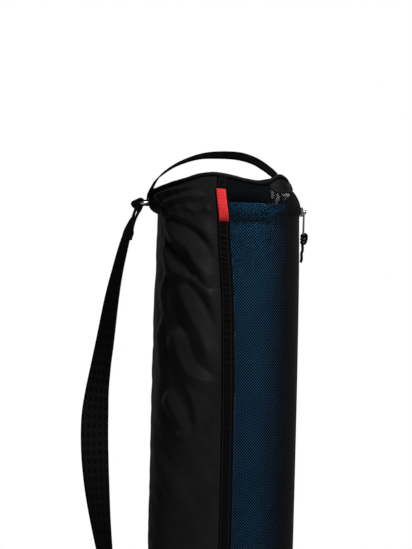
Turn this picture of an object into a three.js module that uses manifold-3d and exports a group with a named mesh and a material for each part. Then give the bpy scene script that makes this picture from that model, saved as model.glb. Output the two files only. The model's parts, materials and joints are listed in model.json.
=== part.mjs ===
// A yoga mat bag with its rolled mat, standing on its base. Millimetres, +Z up, the front faces -Y.
// The origin is the centre of the base. Angles run from +X (the right side) towards +Y (the back).
import * as THREE from 'three';
import { mergeVertices } from 'three/addons/utils/BufferGeometryUtils.js';
import Module from 'manifold-3d';

const wasm = await Module();
wasm.setup();

// Fits
const gap = 0.3;                // clear space between pieces that touch
const degree = Math.PI / 180;

// Rolled mat
const matLength = 660;
const matRadius = 74;
const matSheet = 6;
const matCore = 35;             // radius of the open middle of the roll
const matSteps = 18;            // facets to a turn

// Cloth
const clothWall = 1.2;
const netWall = 1;
const bagEase = 4.8;            // slack between the mat and the cloth
const baseWall = 1.6;
const pipingRadius = 2;
const matGrip = 13;             // how far below the mat's top edge the slack end begins
const crownHeight = 50;         // height of the slack end
const bindingWidth = 6;
const bindingHeight = 5;
const bindingSeat = 1.6;        // height left under the binding for the tapes' and patch's top edges
const capSag = 9;               // how far the top cap sinks below its rim

// Panels and seams
const backSeam = 52;            // angle of the back seam
const frontSeam = -89;          // angle of the front seam at half height
const seamTapeWidth = 11;
const seamTapeWall = 1.1;
const gatherPitch = 6;
const gatherDepth = 0.7;
const gatherSink = 26;          // how far below the mat's top edge the gathers end
const foldDepth = 3.2;          // depth of the deepest fold
const foldFade = 14;            // the folds die out this near to a seam
const labelWidth = 10.6;
const labelLength = 35.8;
const labelWall = 0.7;
const labelRise = 14;           // how far above the mat's top edge the label ends

// Zip
const zipAngle = 5;
const zipTapeWidth = 10;
const coilWidth = 5;
const coilSunk = 0.8;
const coilProud = 1;
const sliderLength = 11;
const sliderWall = 1.2;
const sliderSink = 6.5;         // how far below the mat's top edge its middle lies
const bridgeWidth = 2.2;
const bridgeWall = 1.3;
const pullThickness = 1.6;
const pullPlay = 0.6;           // play of the pull's bar under the bridge
const pullEyeLength = 7;
const pullArm = 1.3;
const pullLength = 32;
const pullFootWidth = 7;
const knotRadius = 4;
const knotLength = 14;
const tailRadius = 1.7;
const tailLength = 24;

// Straps
const handleWidth = 22;
const handleWall = 1.6;
const handleRise = 18;          // height of the handle's arch above the rim's highest point
const handleEndTurn = 7;        // how far round from the ear patch's middle the handle's right end lies
const handleEndInset = 7;       // how far in from the binding it lies
const strapWidth = 32;
const strapWall = 2;
const strapBow = 64;            // how far the strap stands off the bag
const strapFoldBack = 44;
const strapLoopRadius = 3.7;
const anchorHeight = 62;        // where the strap meets the bag's side
const anchorLength = 34;
const anchorWidth = 42;
const patchWall = 1.2;
const ringWire = 3.4;
const ringSpan = 10;            // between the middles of its two long bars
const ringTilt = 24;
const ringUp = 0.33;            // the ring's height on the left ear, as a share of crownHeight
const ringTabWidth = 28;
const ringTabWall = 1.4;
const earPatchFrom = -46;
const earPatchTo = -29;
const earPatchDrop = 15;

const bagRadius = matRadius + bagEase + clothWall;
const baseRadius = bagRadius - pipingRadius;
const matFoot = baseWall + gap;
const matTop = matFoot + matLength;
const wallFoot = 2 * pipingRadius + 2 * gap;
const crownFoot = matTop - matGrip;
const rimBelow = bindingHeight + bindingSeat;
const gatherTop = matTop - gatherSink;
const labelTop = matTop + labelRise;
const sliderHeight = matTop - sliderSink;

// A table's rows as objects whose keys are its column names.
function table(columns, ...rows) {
  return rows.map((row) => Object.fromEntries(columns.map((name, i) => [name, row[i]])));
}

// Body girth: height as a share of the slack end's foot, radius as a share of bagRadius.
const girth = table(['up', 'out'],
  [0, 0.99], [0.06, 1.004], [0.3, 1.02], [0.64, 1.028], [0.88, 1.019], [1, 1]);

// The front seam's drift to the right on its way down: height share, and drift as a share of bagRadius.
const seamDrift = table(['up', 'drift'],
  [0, 0.105], [0.65, 0.105], [0.85, 0.067], [0.965, -0.002], [1.04, -0.038], [1.07, -0.05]);

// The slack end round the bag: angle, belly and rim as shares of bagRadius,
// and the rim's height as a share of crownHeight.
const crown = table(['angle', 'belly', 'out', 'up'],
  [0, 1.1, 0.89, 0.7], [30, 1.06, 0.88, 0.78], [90, 1.02, 0.9, 0.84], [140, 1.03, 0.93, 0.74],
  [165, 1.12, 1, 0.6], [180, 1.24, 1.03, 0.57], [193, 1.13, 1.005, 0.61], [210, 1.03, 0.965, 0.715],
  [228, 1.03, 0.95, 0.8], [243, 1.02, 0.945, 0.9], [256, 1.02, 0.935, 0.935], [270, 1.02, 0.925, 0.89],
  [285, 1.02, 0.915, 0.81], [300, 1.02, 0.9, 0.77], [309, 1, 0.86, 0.81], [318, 1.01, 0.885, 0.93],
  [324, 1.02, 0.9, 0.94], [332, 1.03, 0.925, 0.865], [345, 1.08, 0.92, 0.695]);

// Folds of the cloth panel: from, through and to (angle, height share), depth as a share of foldDepth,
// and width in mm. A negative depth is a valley.
const folds = table(['a0', 'h0', 'a1', 'h1', 'a2', 'h2', 'depth', 'width'],
  [206, 1, 244, 0.976, 266, 0.91, -0.95, 7], [214, 0.991, 244, 0.943, 266, 0.88, 1, 8],
  [212, 0.962, 236, 0.933, 254, 0.874, -0.8, 7], [213, 0.937, 231, 0.914, 246, 0.886, 0.6, 8],
  [230, 0.89, 251, 0.854, 267, 0.79, -0.9, 7], [227, 0.884, 248, 0.84, 267, 0.782, 1, 8],
  [205, 0.845, 231, 0.816, 254, 0.775, -0.7, 8], [227, 0.8, 241, 0.745, 267, 0.706, 0.9, 8],
  [213, 0.735, 228, 0.717, 243, 0.696, -0.6, 8], [221, 0.687, 230, 0.663, 240, 0.637, 0.7, 8],
  [195, 0.985, 201, 0.92, 204, 0.835, 0.5, 6], [205, 0.752, 215, 0.717, 224, 0.682, 0.5, 8],
  [186, 1.024, 219, 1.036, 240, 1.05, -0.5, 6], [203, 1.012, 226, 1.02, 244, 1.03, 0.6, 6],
  [200, 0.56, 226, 0.5, 250, 0.42, -0.5, 12], [214, 0.34, 236, 0.27, 258, 0.2, 0.5, 12],
  [70, 0.97, 110, 0.94, 150, 0.96, -0.6, 12], [84, 0.8, 118, 0.76, 140, 0.7, 0.5, 14]);

// The handle's arch: share of the way from the left ear to the right end, height share, turn of the webbing.
const arch = table(['along', 'up', 'turn'],
  [0, 0.17, 0], [0, 0.26, 0], [0.0136, 0.346, 3], [0.065, 0.566, 8], [0.129, 0.703, 12], [0.228, 0.841, 15],
  [0.396, 0.968, 20], [0.543, 0.993, 24], [0.69, 0.975, 24], [0.783, 0.92, 20], [0.8375, 0.866, 16],
  [0.885, 0.8, 12], [0.9205, 0.746, 8], [0.952, 0.69, 4], [0.976, 0.652, 1], [1, 0.638, 0]);

// The strap: share of the way down from its ring to its anchor, distance from the bag as a share of strapBow,
// the webbing's turn from edge-on, and its sway towards the front as a share of strapBow.
const drop = table(['down', 'out', 'turn', 'sway'],
  [0, 0.29, 0, 0], [0.03, 0.4, 13, 0.01], [0.085, 0.56, 21, 0.02], [0.13, 0.667, 25, 0.04],
  [0.176, 0.746, 31, 0.06], [0.267, 0.86, 42, 0.1], [0.3125, 0.92, 48, 0.12], [0.36, 0.972, 59, 0.14],
  [0.407, 0.997, 76, 0.15], [0.46, 0.99, 80, 0.15], [0.52, 0.95, 70, 0.14], [0.6, 0.86, 50, 0.12],
  [0.7, 0.7, 30, 0.08], [0.8, 0.48, 16, 0.05], [0.88, 0.27, 7, 0.02], [0.94, 0.11, 2, 0], [1, 0.02, 0, 0]);

// Half the space between the strap's two layers: way along as a share of strapFoldBack,
// and half the space as a share of strapLoopRadius.
const spread = table(['along', 'half'],
  [0, 1], [0.3, 0.5], [0.42, 0.32], [0.68, 0.32], [0.8, 0.46], [0.92, 0.32], [1, 0.32]);

const vector = (x, y, z) => new THREE.Vector3(x, y, z);
const clamp = THREE.MathUtils.clamp;
const smooth = (x) => THREE.MathUtils.smoothstep(x, 0, 1);

// The value of one column at a place, on a smooth curve through the rows. A period closes the table on itself.
function readTable(rows, key, place, column, period = 0) {
  const count = rows.length;
  const wrap = (n) => ((n % count) + count) % count;
  const row = (n) => rows[period ? wrap(n) : clamp(n, 0, count - 1)];
  const at = (n) => row(n)[key] + (period ? period * Math.floor(n / count) : 0);
  const first = rows[0][key];
  const wrapped = first + ((((place - first) % period) + period) % period);
  const x = period ? wrapped : clamp(place, first, at(count - 1));
  let i = 0;
  while (i < count - (period ? 1 : 2) && at(i + 1) <= x) i += 1;
  const slope = (n) => (row(n + 1)[column] - row(n - 1)[column]) / (at(n + 1) - at(n - 1));
  const width = at(i + 1) - at(i);
  const t = (x - at(i)) / width;
  const [a, b] = [row(i)[column], row(i + 1)[column]];
  return (2 * t ** 3 - 3 * t ** 2 + 1) * a + (t ** 3 - 2 * t ** 2 + t) * width * slope(i)
    + (3 * t ** 2 - 2 * t ** 3) * b + (t ** 3 - t ** 2) * width * slope(i + 1);
}

// A closed solid from points and triangles, with its faces turned outwards.
function solidFrom(points, faces) {
  let volume = 0;
  for (const [a, b, c] of faces) volume += points[a].dot(points[b].clone().cross(points[c]));
  const outward = volume < 0 ? faces.map(([a, b, c]) => [a, c, b]) : faces;
  const geometry = new THREE.BufferGeometry().setFromPoints(points);
  geometry.setIndex(outward.flat());
  geometry.computeVertexNormals();
  return geometry;
}

// A wall: an outer and an inner grid of points over the same columns and rows, joined round their edges.
function wallSolid(us, vs, outer, inner) {
  const points = [];
  const faces = [];
  const index = (layer, i, j) => (layer * vs.length + j) * us.length + i;
  for (const side of [outer, inner]) {
    for (const v of vs) for (const u of us) points.push(side(u, v));
  }
  const quad = (a, b, c, d) => faces.push([a, b, c], [a, c, d]);
  for (let j = 0; j < vs.length - 1; j += 1) {
    for (let i = 0; i < us.length - 1; i += 1) {
      quad(index(0, i, j), index(0, i + 1, j), index(0, i + 1, j + 1), index(0, i, j + 1));
      quad(index(1, i, j), index(1, i, j + 1), index(1, i + 1, j + 1), index(1, i + 1, j));
    }
  }
  for (let i = 0; i < us.length - 1; i += 1) {
    const top = vs.length - 1;
    quad(index(0, i + 1, 0), index(0, i, 0), index(1, i, 0), index(1, i + 1, 0));
    quad(index(0, i, top), index(0, i + 1, top), index(1, i + 1, top), index(1, i, top));
  }
  for (let j = 0; j < vs.length - 1; j += 1) {
    const end = us.length - 1;
    quad(index(0, 0, j), index(0, 0, j + 1), index(1, 0, j + 1), index(1, 0, j));
    quad(index(0, end, j + 1), index(0, end, j), index(1, end, j), index(1, end, j + 1));
  }
  return solidFrom(points, faces);
}

// A solid through like rings of points, closed on itself or with flat ends.
function ringsSolid(rings, closed) {
  const points = rings.flat();
  const sides = rings[0].length;
  const faces = [];
  const index = (ring, side) => (ring % rings.length) * sides + (side % sides);
  for (let r = 0; r < rings.length - (closed ? 0 : 1); r += 1) {
    for (let s = 0; s < sides; s += 1) {
      faces.push([index(r, s), index(r, s + 1), index(r + 1, s + 1)]);
      faces.push([index(r, s), index(r + 1, s + 1), index(r + 1, s)]);
    }
  }
  if (!closed) {
    for (let s = 1; s < sides - 1; s += 1) {
      faces.push([index(0, 0), index(0, s + 1), index(0, s)]);
      faces.push([index(rings.length - 1, 0), index(rings.length - 1, s), index(rings.length - 1, s + 1)]);
    }
  }
  return solidFrom(points, faces);
}

// Webbing: a flat band along a path, with the direction of its width given at each point.
function bandSolid(path, across, width, wall) {
  const rings = path.map((point, i) => {
    const along = path[Math.min(i + 1, path.length - 1)].clone().sub(path[Math.max(i - 1, 0)]).normalize();
    const side = across[i].clone().addScaledVector(along, -across[i].dot(along)).normalize();
    const face = along.cross(side);
    return [[1, 1], [-1, 1], [-1, -1], [1, -1]].map(([w, f]) => point.clone()
      .addScaledVector(side, w * width / 2).addScaledVector(face, f * wall / 2));
  });
  return ringsSolid(rings, false);
}

const steps = (from, to, count) => Array.from({ length: count + 1 }, (_, i) => from + (to - from) * i / count);
const around = (count) => steps(0, 360, count).slice(0, count);
const mix = THREE.MathUtils.lerp;

// Radius and height of the walls' top edge at an angle, and of the binding's top above it.
const rimRadius = (angle) => bagRadius * readTable(crown, 'angle', angle, 'out', 360);
const rimTop = (angle) => crownFoot + crownHeight * readTable(crown, 'angle', angle, 'up', 360);
const rimHeight = (angle) => rimTop(angle) - rimBelow;

// The walls in profile: level 0 to 1 climbs the body, 1 to 2 the slack end, which bellies out and leans in.
function profile(angle, level) {
  if (level <= 1) {
    const up = (wallFoot + (crownFoot - wallFoot) * level) / crownFoot;
    return new THREE.Vector2(bagRadius * readTable(girth, 'up', up, 'out'), up * crownFoot);
  }
  const t = level - 1;
  const belly = bagRadius * readTable(crown, 'angle', angle, 'belly', 360);
  const rim = rimHeight(angle);
  const curve = (a, b, c) => (1 - t) ** 2 * a + 2 * t * (1 - t) * b + t ** 2 * c;
  const radius = curve(bagRadius, belly, rimRadius(angle));
  return new THREE.Vector2(radius, curve(crownFoot, mix(crownFoot, rim, 0.45), rim));
}

// A point on the walls, lifted off the bag's outer face along the face's normal.
function wallPoint(angle, level, lift) {
  const step = 0.01;
  const here = profile(angle, level);
  const above = profile(angle, Math.min(level + step, 2));
  const slope = above.sub(profile(angle, Math.max(level - step, 0))).normalize();
  const radius = here.x + lift * slope.y;
  return vector(radius * Math.cos(angle * degree), radius * Math.sin(angle * degree), here.y - lift * slope.x);
}

const levelOf = (height) => (height - wallFoot) / (crownFoot - wallFoot);
const shareOf = (angle, level) => profile(angle, level).y / crownFoot;
const arc = (length) => length / bagRadius / degree;
const arcLength = (angle) => angle * degree * bagRadius;

// The angle of the front seam's right edge at a level.
function seamAngle(level) {
  const drift = readTable(seamDrift, 'up', shareOf(frontSeam, level), 'drift');
  return frontSeam - 1 + Math.asin(drift) / degree;
}

// How far the folds lift the cloth at an angle and level: each is a soft ridge or valley along a bent line.
function foldAt(angle, level) {
  const height = shareOf(angle, level) * crownFoot;
  let lift = 0;
  for (const fold of folds) {
    let nearest = Infinity;
    let way = 0;
    for (const t of steps(0, 1, 10)) {
      const bend = (a, b, c) => (1 - t) ** 2 * a + 2 * t * (1 - t) * (2 * b - (a + c) / 2) + t ** 2 * c;
      const across = (bend(fold.a0, fold.a1, fold.a2) - angle) * degree * bagRadius;
      const up = bend(fold.h0, fold.h1, fold.h2) * crownFoot - height;
      const distance = Math.hypot(across, up);
      if (distance < nearest) [nearest, way] = [distance, t];
    }
    const ends = Math.sqrt(Math.sin(Math.PI * mix(0.12, 0.88, way)));
    lift += foldDepth * fold.depth * Math.exp(-((nearest / fold.width) ** 2)) * ends;
  }
  const edge = Math.min(seamAngle(level) + 360 - angle, angle - backSeam) * degree * bagRadius;
  return lift * smooth((edge - seamTapeWidth) / foldFade) * smooth((2 - level) / 0.3) * smooth(level / 0.05);
}

const materials = {
  cloth: new THREE.MeshStandardMaterial({ color: 0x17161a, roughness: 0.55, metalness: 0 }),
  net: new THREE.MeshStandardMaterial({ color: 0x17222d, roughness: 0.8, metalness: 0 }),
  tape: new THREE.MeshStandardMaterial({ color: 0x141315, roughness: 0.7, metalness: 0 }),
  webbing: new THREE.MeshStandardMaterial({ color: 0x0d0b0b, roughness: 0.75, metalness: 0 }),
  label: new THREE.MeshStandardMaterial({ color: 0xcd2d30, roughness: 0.7, metalness: 0 }),
  metal: new THREE.MeshStandardMaterial({ color: 0xbfc0c2, roughness: 0.35, metalness: 1 }),
  coil: new THREE.MeshStandardMaterial({ color: 0x101012, roughness: 0.5, metalness: 0 }),
  mat: new THREE.MeshStandardMaterial({ color: 0x4f7fb0, roughness: 0.85, metalness: 0 }),
};

const group = new THREE.Group();

function add(name, geometry, material, parent = group) {
  const mesh = new THREE.Mesh(geometry, material);
  mesh.name = name;
  parent.add(mesh);
  return mesh;
}

// Levels for a panel's rows: few below, more in the upper part, and the same in every panel's slack end.
const crownLevels = steps(1, 2, 5).slice(1);
const bodyLevels = (low, high) => [...steps(0, 0.62, low), ...steps(0.62, 1, high).slice(1), ...crownLevels];

// A panel of the wall between two edges, each an angle at a level, with an optional lift of its outer face.
function panel(from, to, columns, levels, wall, lift = () => 0) {
  const place = (u, level, sunk) => {
    const angle = mix(from(level), to(level), u);
    return wallPoint(angle, level, lift(angle, level) - sunk);
  };
  return wallSolid(columns, levels, (u, v) => place(u, v, 0), (u, v) => place(u, v, wall));
}

// The cloth panel from the back seam round the left side to the front seam, with its folds.
function addSidePanel() {
  const denseFrom = 0.54;
  const columns = [...steps(0, denseFrom, 6), ...steps(denseFrom, 1, 18).slice(1)];
  const levels = bodyLevels(6, 21);
  const to = (level) => seamAngle(level) + 360;
  add('side_panel', panel(() => backSeam, to, columns, levels, clothWall, foldAt), materials.cloth);
}

// The net panels either side of the zip, and the zip's two tapes.
function addNetAndTapes() {
  const inner = arc(coilWidth / 2 + gap);
  const outer = arc(coilWidth / 2 + gap + zipTapeWidth);
  const seamStart = (level) => seamAngle(level) + arc(gap);
  const levels = bodyLevels(6, 7);
  const frontEnd = () => zipAngle - outer - arc(gap);
  const backStart = () => zipAngle + outer + arc(gap);
  const backEnd = () => backSeam - arc(gap);
  add('mesh_front', panel(seamStart, frontEnd, steps(0, 1, 11), levels, netWall), materials.net);
  add('mesh_back', panel(backStart, backEnd, steps(0, 1, 4), levels, netWall), materials.net);
  add('zip_tape_front', panel(() => zipAngle - outer, () => zipAngle - inner, [0, 1], levels, netWall),
    materials.tape);
  add('zip_tape_back', panel(() => zipAngle + inner, () => zipAngle + outer, [0, 1], levels, netWall),
    materials.tape);
  const half = arc(coilWidth / 2);
  add('zip_coil', panel(() => zipAngle - half, () => zipAngle + half, [0, 1], levels, coilSunk + coilProud,
    () => coilProud), materials.coil);
}

// A flat strip laid on the round wall stands off it by its chord's sag.
const chordSag = (width) => width ** 2 / (8 * bagRadius);
const tapeLift = gap + seamTapeWall + chordSag(seamTapeWidth);

// The gathered tape along the front seam and the plain one along the back seam, outside the cloth.
function addSeamTapes() {
  const width = arc(seamTapeWidth);
  const gatherLevel = levelOf(gatherTop);
  const gathers = Math.round(gatherTop / gatherPitch) * 2;
  const levels = [...steps(0, gatherLevel, gathers), ...steps(gatherLevel, 1, 2).slice(1), ...crownLevels];
  const gather = (angle, level) => {
    const wave = Math.cos(Math.PI * level / gatherLevel * gathers);
    return tapeLift + (level < gatherLevel ? gatherDepth * (1 - wave) / 2 : 0);
  };
  const tapeStart = (level) => seamAngle(level) - width;
  add('front_seam_tape', panel(tapeStart, seamAngle, [0, 1], levels, seamTapeWall, gather), materials.tape);
  add('back_seam_tape', panel(() => backSeam - arc(gap), () => backSeam - arc(gap) + width, [0, 1],
    bodyLevels(6, 7), seamTapeWall, () => tapeLift), materials.tape);
}

// The level at which the wall reaches a height at an angle.
function levelAt(angle, height) {
  let [low, high] = [0, 2];
  for (let i = 0; i < 24; i += 1) {
    const middle = (low + high) / 2;
    if (profile(angle, middle).y < height) low = middle;
    else high = middle;
  }
  return low;
}

// The bare woven label on the seam tape.
function addLabel() {
  const top = levelAt(frontSeam, labelTop);
  const foot = levelAt(frontSeam, labelTop - labelLength);
  const spare = arc((seamTapeWidth - labelWidth) / 2);
  const lift = tapeLift + gap + labelWall;
  const from = (level) => seamAngle(level) - arc(seamTapeWidth) + spare;
  const to = (level) => seamAngle(level) - spare;
  const levels = steps(foot, top, 6);
  add('label_tab', panel(from, to, steps(0, 1, 2), levels, labelWall, () => lift), materials.label);
}

// The sagging cloth end inside the rim.
function addTopCap() {
  const angles = around(36);
  const inset = 2 * clothWall + gap;
  const point = (share, angle, sunk) => {
    const radius = (rimRadius(angle) - inset) * share;
    const sag = capSag * (1 - share ** 2);
    const middle = crownFoot + crownHeight * 0.8 - rimBelow;
    const height = mix(middle, rimHeight(angle), share ** 2) - sag - sunk;
    return vector(radius * Math.cos(angle * degree), radius * Math.sin(angle * degree), height);
  };
  const shares = [0.14, 0.4, 0.68, 0.88, 1];
  const circle = (share, sunk) => angles.map((angle) => point(share, angle, sunk));
  const upper = shares.map((share) => circle(share, 0));
  const lower = shares.map((share) => circle(share, clothWall)).reverse();
  const rings = [...upper, ...lower];
  add('top_cap', ringsSolid(rings, false), materials.cloth);
}

// The bound edge that closes the walls and the cap.
function addRimBinding() {
  const rings = around(48).map((angle) => {
    const section = [[0.5, 0], [0.5, 0.6], [0, 1], [-0.5, 0.6], [-0.5, 0]];
    return section.map(([out, up]) => {
      const radius = rimRadius(angle) - clothWall / 2 + out * bindingWidth;
      const height = rimHeight(angle) + bindingSeat + up * bindingHeight;
      return vector(radius * Math.cos(angle * degree), radius * Math.sin(angle * degree), height);
    });
  });
  add('rim_binding', ringsSolid(rings, true), materials.tape);
}

// The base, and the bound edge round it.
function addBase() {
  const discRadius = baseRadius - pipingRadius - gap;
  const half = [[0, 0], [discRadius, 0], [discRadius, baseWall], [0, baseWall]];
  const disc = new THREE.LatheGeometry(half.map(([x, y]) => new THREE.Vector2(x, y)), 40);
  add('base_panel', disc.rotateX(Math.PI / 2), materials.cloth);
  const piping = around(40).map((angle) => around(6).map((turn) => {
    const radius = baseRadius + pipingRadius * Math.cos(turn * degree);
    const height = gap + pipingRadius * (1 + Math.sin(turn * degree));
    return vector(radius * Math.cos(angle * degree), radius * Math.sin(angle * degree), height);
  }));
  add('base_piping', ringsSolid(piping, true), materials.tape);
}

// The rolled mat: one sheet wound in a spiral about an open middle.
function addMat() {
  const pitch = matSheet + gap;
  const turns = (matRadius - matSheet - matCore) / pitch;
  const count = Math.round(turns * matSteps);
  const spiral = (extra) => steps(0, turns, count).map((turn) => {
    const radius = matCore + pitch * turn + extra;
    const angle = 2 * Math.PI * turn;
    return new THREE.Vector2(radius * Math.cos(angle), radius * Math.sin(angle));
  });
  const outline = new THREE.Shape([...spiral(0), ...spiral(matSheet).reverse()]);
  const geometry = new THREE.ExtrudeGeometry(outline, { depth: matLength, bevelEnabled: false, steps: 1 });
  add('rolled_mat', geometry.translate(0, 0, matFoot), materials.mat);
}

// A three.js geometry as a solid for joining and cutting, and back.
function toSolid(geometry) {
  const bare = geometry.clone();
  bare.deleteAttribute('normal');
  bare.deleteAttribute('uv');
  const merged = mergeVertices(bare, 1e-4);
  return new wasm.Manifold(new wasm.Mesh({
    numProp: 3,
    vertProperties: new Float32Array(merged.attributes.position.array),
    triVerts: new Uint32Array(merged.index.array),
  }));
}

function fromSolid(solid) {
  const mesh = solid.getMesh();
  const geometry = new THREE.BufferGeometry();
  geometry.setAttribute('position', new THREE.BufferAttribute(mesh.vertProperties, 3));
  geometry.setIndex(new THREE.BufferAttribute(mesh.triVerts, 1));
  geometry.computeVertexNormals();
  return geometry;
}

// A flat outline of [x, y] points, with holes, drawn out to a depth along z.
function plate(outline, depth, holes = []) {
  const shape = new THREE.Shape(outline.map(([x, y]) => new THREE.Vector2(x, y)));
  shape.holes = holes.map((hole) => new THREE.Path(hole.map(([x, y]) => new THREE.Vector2(x, y))));
  return new THREE.ExtrudeGeometry(shape, { depth, bevelEnabled: false, steps: 1 });
}

// The zip's slider rides over the coil, its bridge holds the pull, and the pull ends in a knotted grip.
// They are made with x pointing away from the bag, y along the wall and z up, then turned to the zip's angle.
function addSliderAndPull() {
  const zip = new THREE.Group();
  zip.rotation.z = zipAngle * degree;
  group.add(zip);
  const radiusAt = (height) => profile(zipAngle, levelAt(zipAngle, height)).x;
  const ends = [-sliderLength / 2, 0, sliderLength / 2].map((offset) => radiusAt(sliderHeight + offset));
  const tapeFace = Math.max(...ends) + gap;
  const coilFace = Math.max(...ends) + coilProud + gap;
  const sliderFace = coilFace + sliderWall;
  const halfIn = coilWidth / 2 + gap;
  const halfOut = halfIn + sliderWall;
  const channelOutline = [[tapeFace, -halfOut], [sliderFace, -halfOut], [sliderFace, halfOut],
    [tapeFace, halfOut], [tapeFace, halfIn], [coilFace, halfIn], [coilFace, -halfIn], [tapeFace, -halfIn]];
  const channel = plate(channelOutline, sliderLength);
  channel.translate(0, 0, sliderHeight - sliderLength / 2);

  const bridgeIn = pullThickness * Math.SQRT2 + 2 * gap;
  const bridgeHalf = bridgeIn / 2 + pullPlay;
  const footOf = sliderFace - sliderWall / 2;
  const rise = sliderFace + bridgeIn;
  const outline = [[footOf, -bridgeHalf - bridgeWall], [rise, -bridgeHalf - bridgeWall],
    [rise + bridgeWall, -bridgeHalf], [rise + bridgeWall, bridgeHalf], [rise, bridgeHalf + bridgeWall],
    [footOf, bridgeHalf + bridgeWall], [footOf, bridgeHalf], [rise, bridgeHalf], [rise, -bridgeHalf],
    [footOf, -bridgeHalf]];
  const bridge = plate(outline, bridgeWidth).rotateX(Math.PI / 2).translate(0, bridgeWidth / 2, sliderHeight);
  add('zip_slider', fromSolid(toSolid(channel).add(toSolid(bridge))), materials.metal, zip);

  const hinge = vector(sliderFace + bridgeIn / 2, 0, sliderHeight);
  const eyeHalf = bridgeWidth / 2 + gap;
  const topHalf = eyeHalf + pullArm;
  const bar = pullThickness / 2;
  const pullOutline = [[-topHalf, bar], [-topHalf, -pullEyeLength], [-pullFootWidth / 2, -pullLength],
    [pullFootWidth / 2, -pullLength], [topHalf, -pullEyeLength], [topHalf, bar]];
  const eyeFoot = pullArm - pullEyeLength;
  const eye = [[-eyeHalf, -bar], [eyeHalf, -bar], [eyeHalf, eyeFoot], [-eyeHalf, eyeFoot]];
  const pull = plate(pullOutline, pullThickness, [eye]);
  pull.translate(0, 0, -bar).rotateX(Math.PI / 2).rotateZ(Math.PI / 2);

  const knotFlatness = 1.2;
  const knotDrop = pullLength - 1;
  const slot = new THREE.BoxGeometry(pullThickness + 2 * gap, pullFootWidth + 2 * gap, knotLength)
    .translate(0, 0, -pullLength - gap + knotLength / 2);
  const knotOutline = steps(0, 180, 8).map((turn) => new THREE.Vector2(
    turn % 180 === 0 ? 0 : knotRadius * knotFlatness * Math.sin(turn * degree),
    -knotLength / 2 * Math.cos(turn * degree)));
  const knot = new THREE.LatheGeometry(knotOutline, 12).rotateX(Math.PI / 2).scale(1 / knotFlatness, 1, 1)
    .translate(0, 0, -knotDrop);
  const tailPath = new THREE.CatmullRomCurve3([vector(0, 0, -knotDrop - knotLength * 0.3),
    vector(-0.5, 0, -knotDrop - knotLength / 2 - tailLength * 0.4),
    vector(-2.2, 0.5, -knotDrop - knotLength / 2 - tailLength)]);
  const tailShape = new THREE.Shape(around(8).map((turn) => new THREE.Vector2(
    tailRadius * Math.cos(turn * degree), tailRadius * Math.sin(turn * degree))));
  const tail = new THREE.ExtrudeGeometry(tailShape, { steps: 5, bevelEnabled: false, extrudePath: tailPath });
  const tab = fromSolid(toSolid(knot).add(toSolid(tail)).subtract(toSolid(slot)));

  const knotSeat = radiusAt(sliderHeight - knotDrop) + coilProud + 2 * gap + knotRadius;
  const lean = -Math.asin((knotSeat - hinge.x) / knotDrop);
  const plateMesh = add('zip_pull', pull, materials.metal, zip);
  const tabMesh = add('zip_pull_tab', tab, materials.webbing, zip);
  for (const mesh of [plateMesh, tabMesh]) {
    mesh.position.copy(hinge);
    mesh.rotation.y = lean;
  }
}

// The handle arches from the left ear to the inner side of the rim at the right ear.
const earOut = Math.max(...steps(1, 2, 40).map((level) => profile(180, level).x));
const leftFace = earOut + gap + handleWall / 2;
function addHandle() {
  const endAngle = (earPatchFrom + earPatchTo) / 2 + handleEndTurn;
  const endRadius = rimRadius(endAngle) - bindingWidth - handleEndInset;
  const right = vector(endRadius * Math.cos(endAngle * degree), endRadius * Math.sin(endAngle * degree), 0);
  const points = arch.map((row) => vector(mix(-leftFace, right.x, row.along), right.y * smooth(row.along),
    crownFoot + (crownHeight + handleRise) * row.up));
  const count = 36;
  const path = new THREE.CatmullRomCurve3(points).getPoints(count);
  const turns = arch.map((row, n) => ({ step: n / (arch.length - 1), turn: row.turn }));
  const across = path.map((_, i) => {
    const turn = readTable(turns, 'step', i / count, 'turn') * degree;
    const yaw = -endAngle * degree * smooth(i / count);
    return vector(Math.sin(yaw) * Math.cos(turn), Math.cos(yaw) * Math.cos(turn), Math.sin(turn));
  });
  add('carry_handle', bandSolid(path, across, handleWidth, handleWall), materials.webbing);
}

// The cloth patch over the wall's top edge where the handle is sewn in.
function addEarPatch() {
  const foot = levelAt(earPatchFrom, rimHeight(earPatchFrom) - earPatchDrop);
  const lift = gap + patchWall + chordSag(arcLength(earPatchTo - earPatchFrom) / 4);
  const levels = steps(foot, 2, 4);
  const patch = panel(() => earPatchFrom, () => earPatchTo, steps(0, 1, 4), levels, patchWall, () => lift);
  add('ear_patch', patch, materials.cloth);
}

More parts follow.
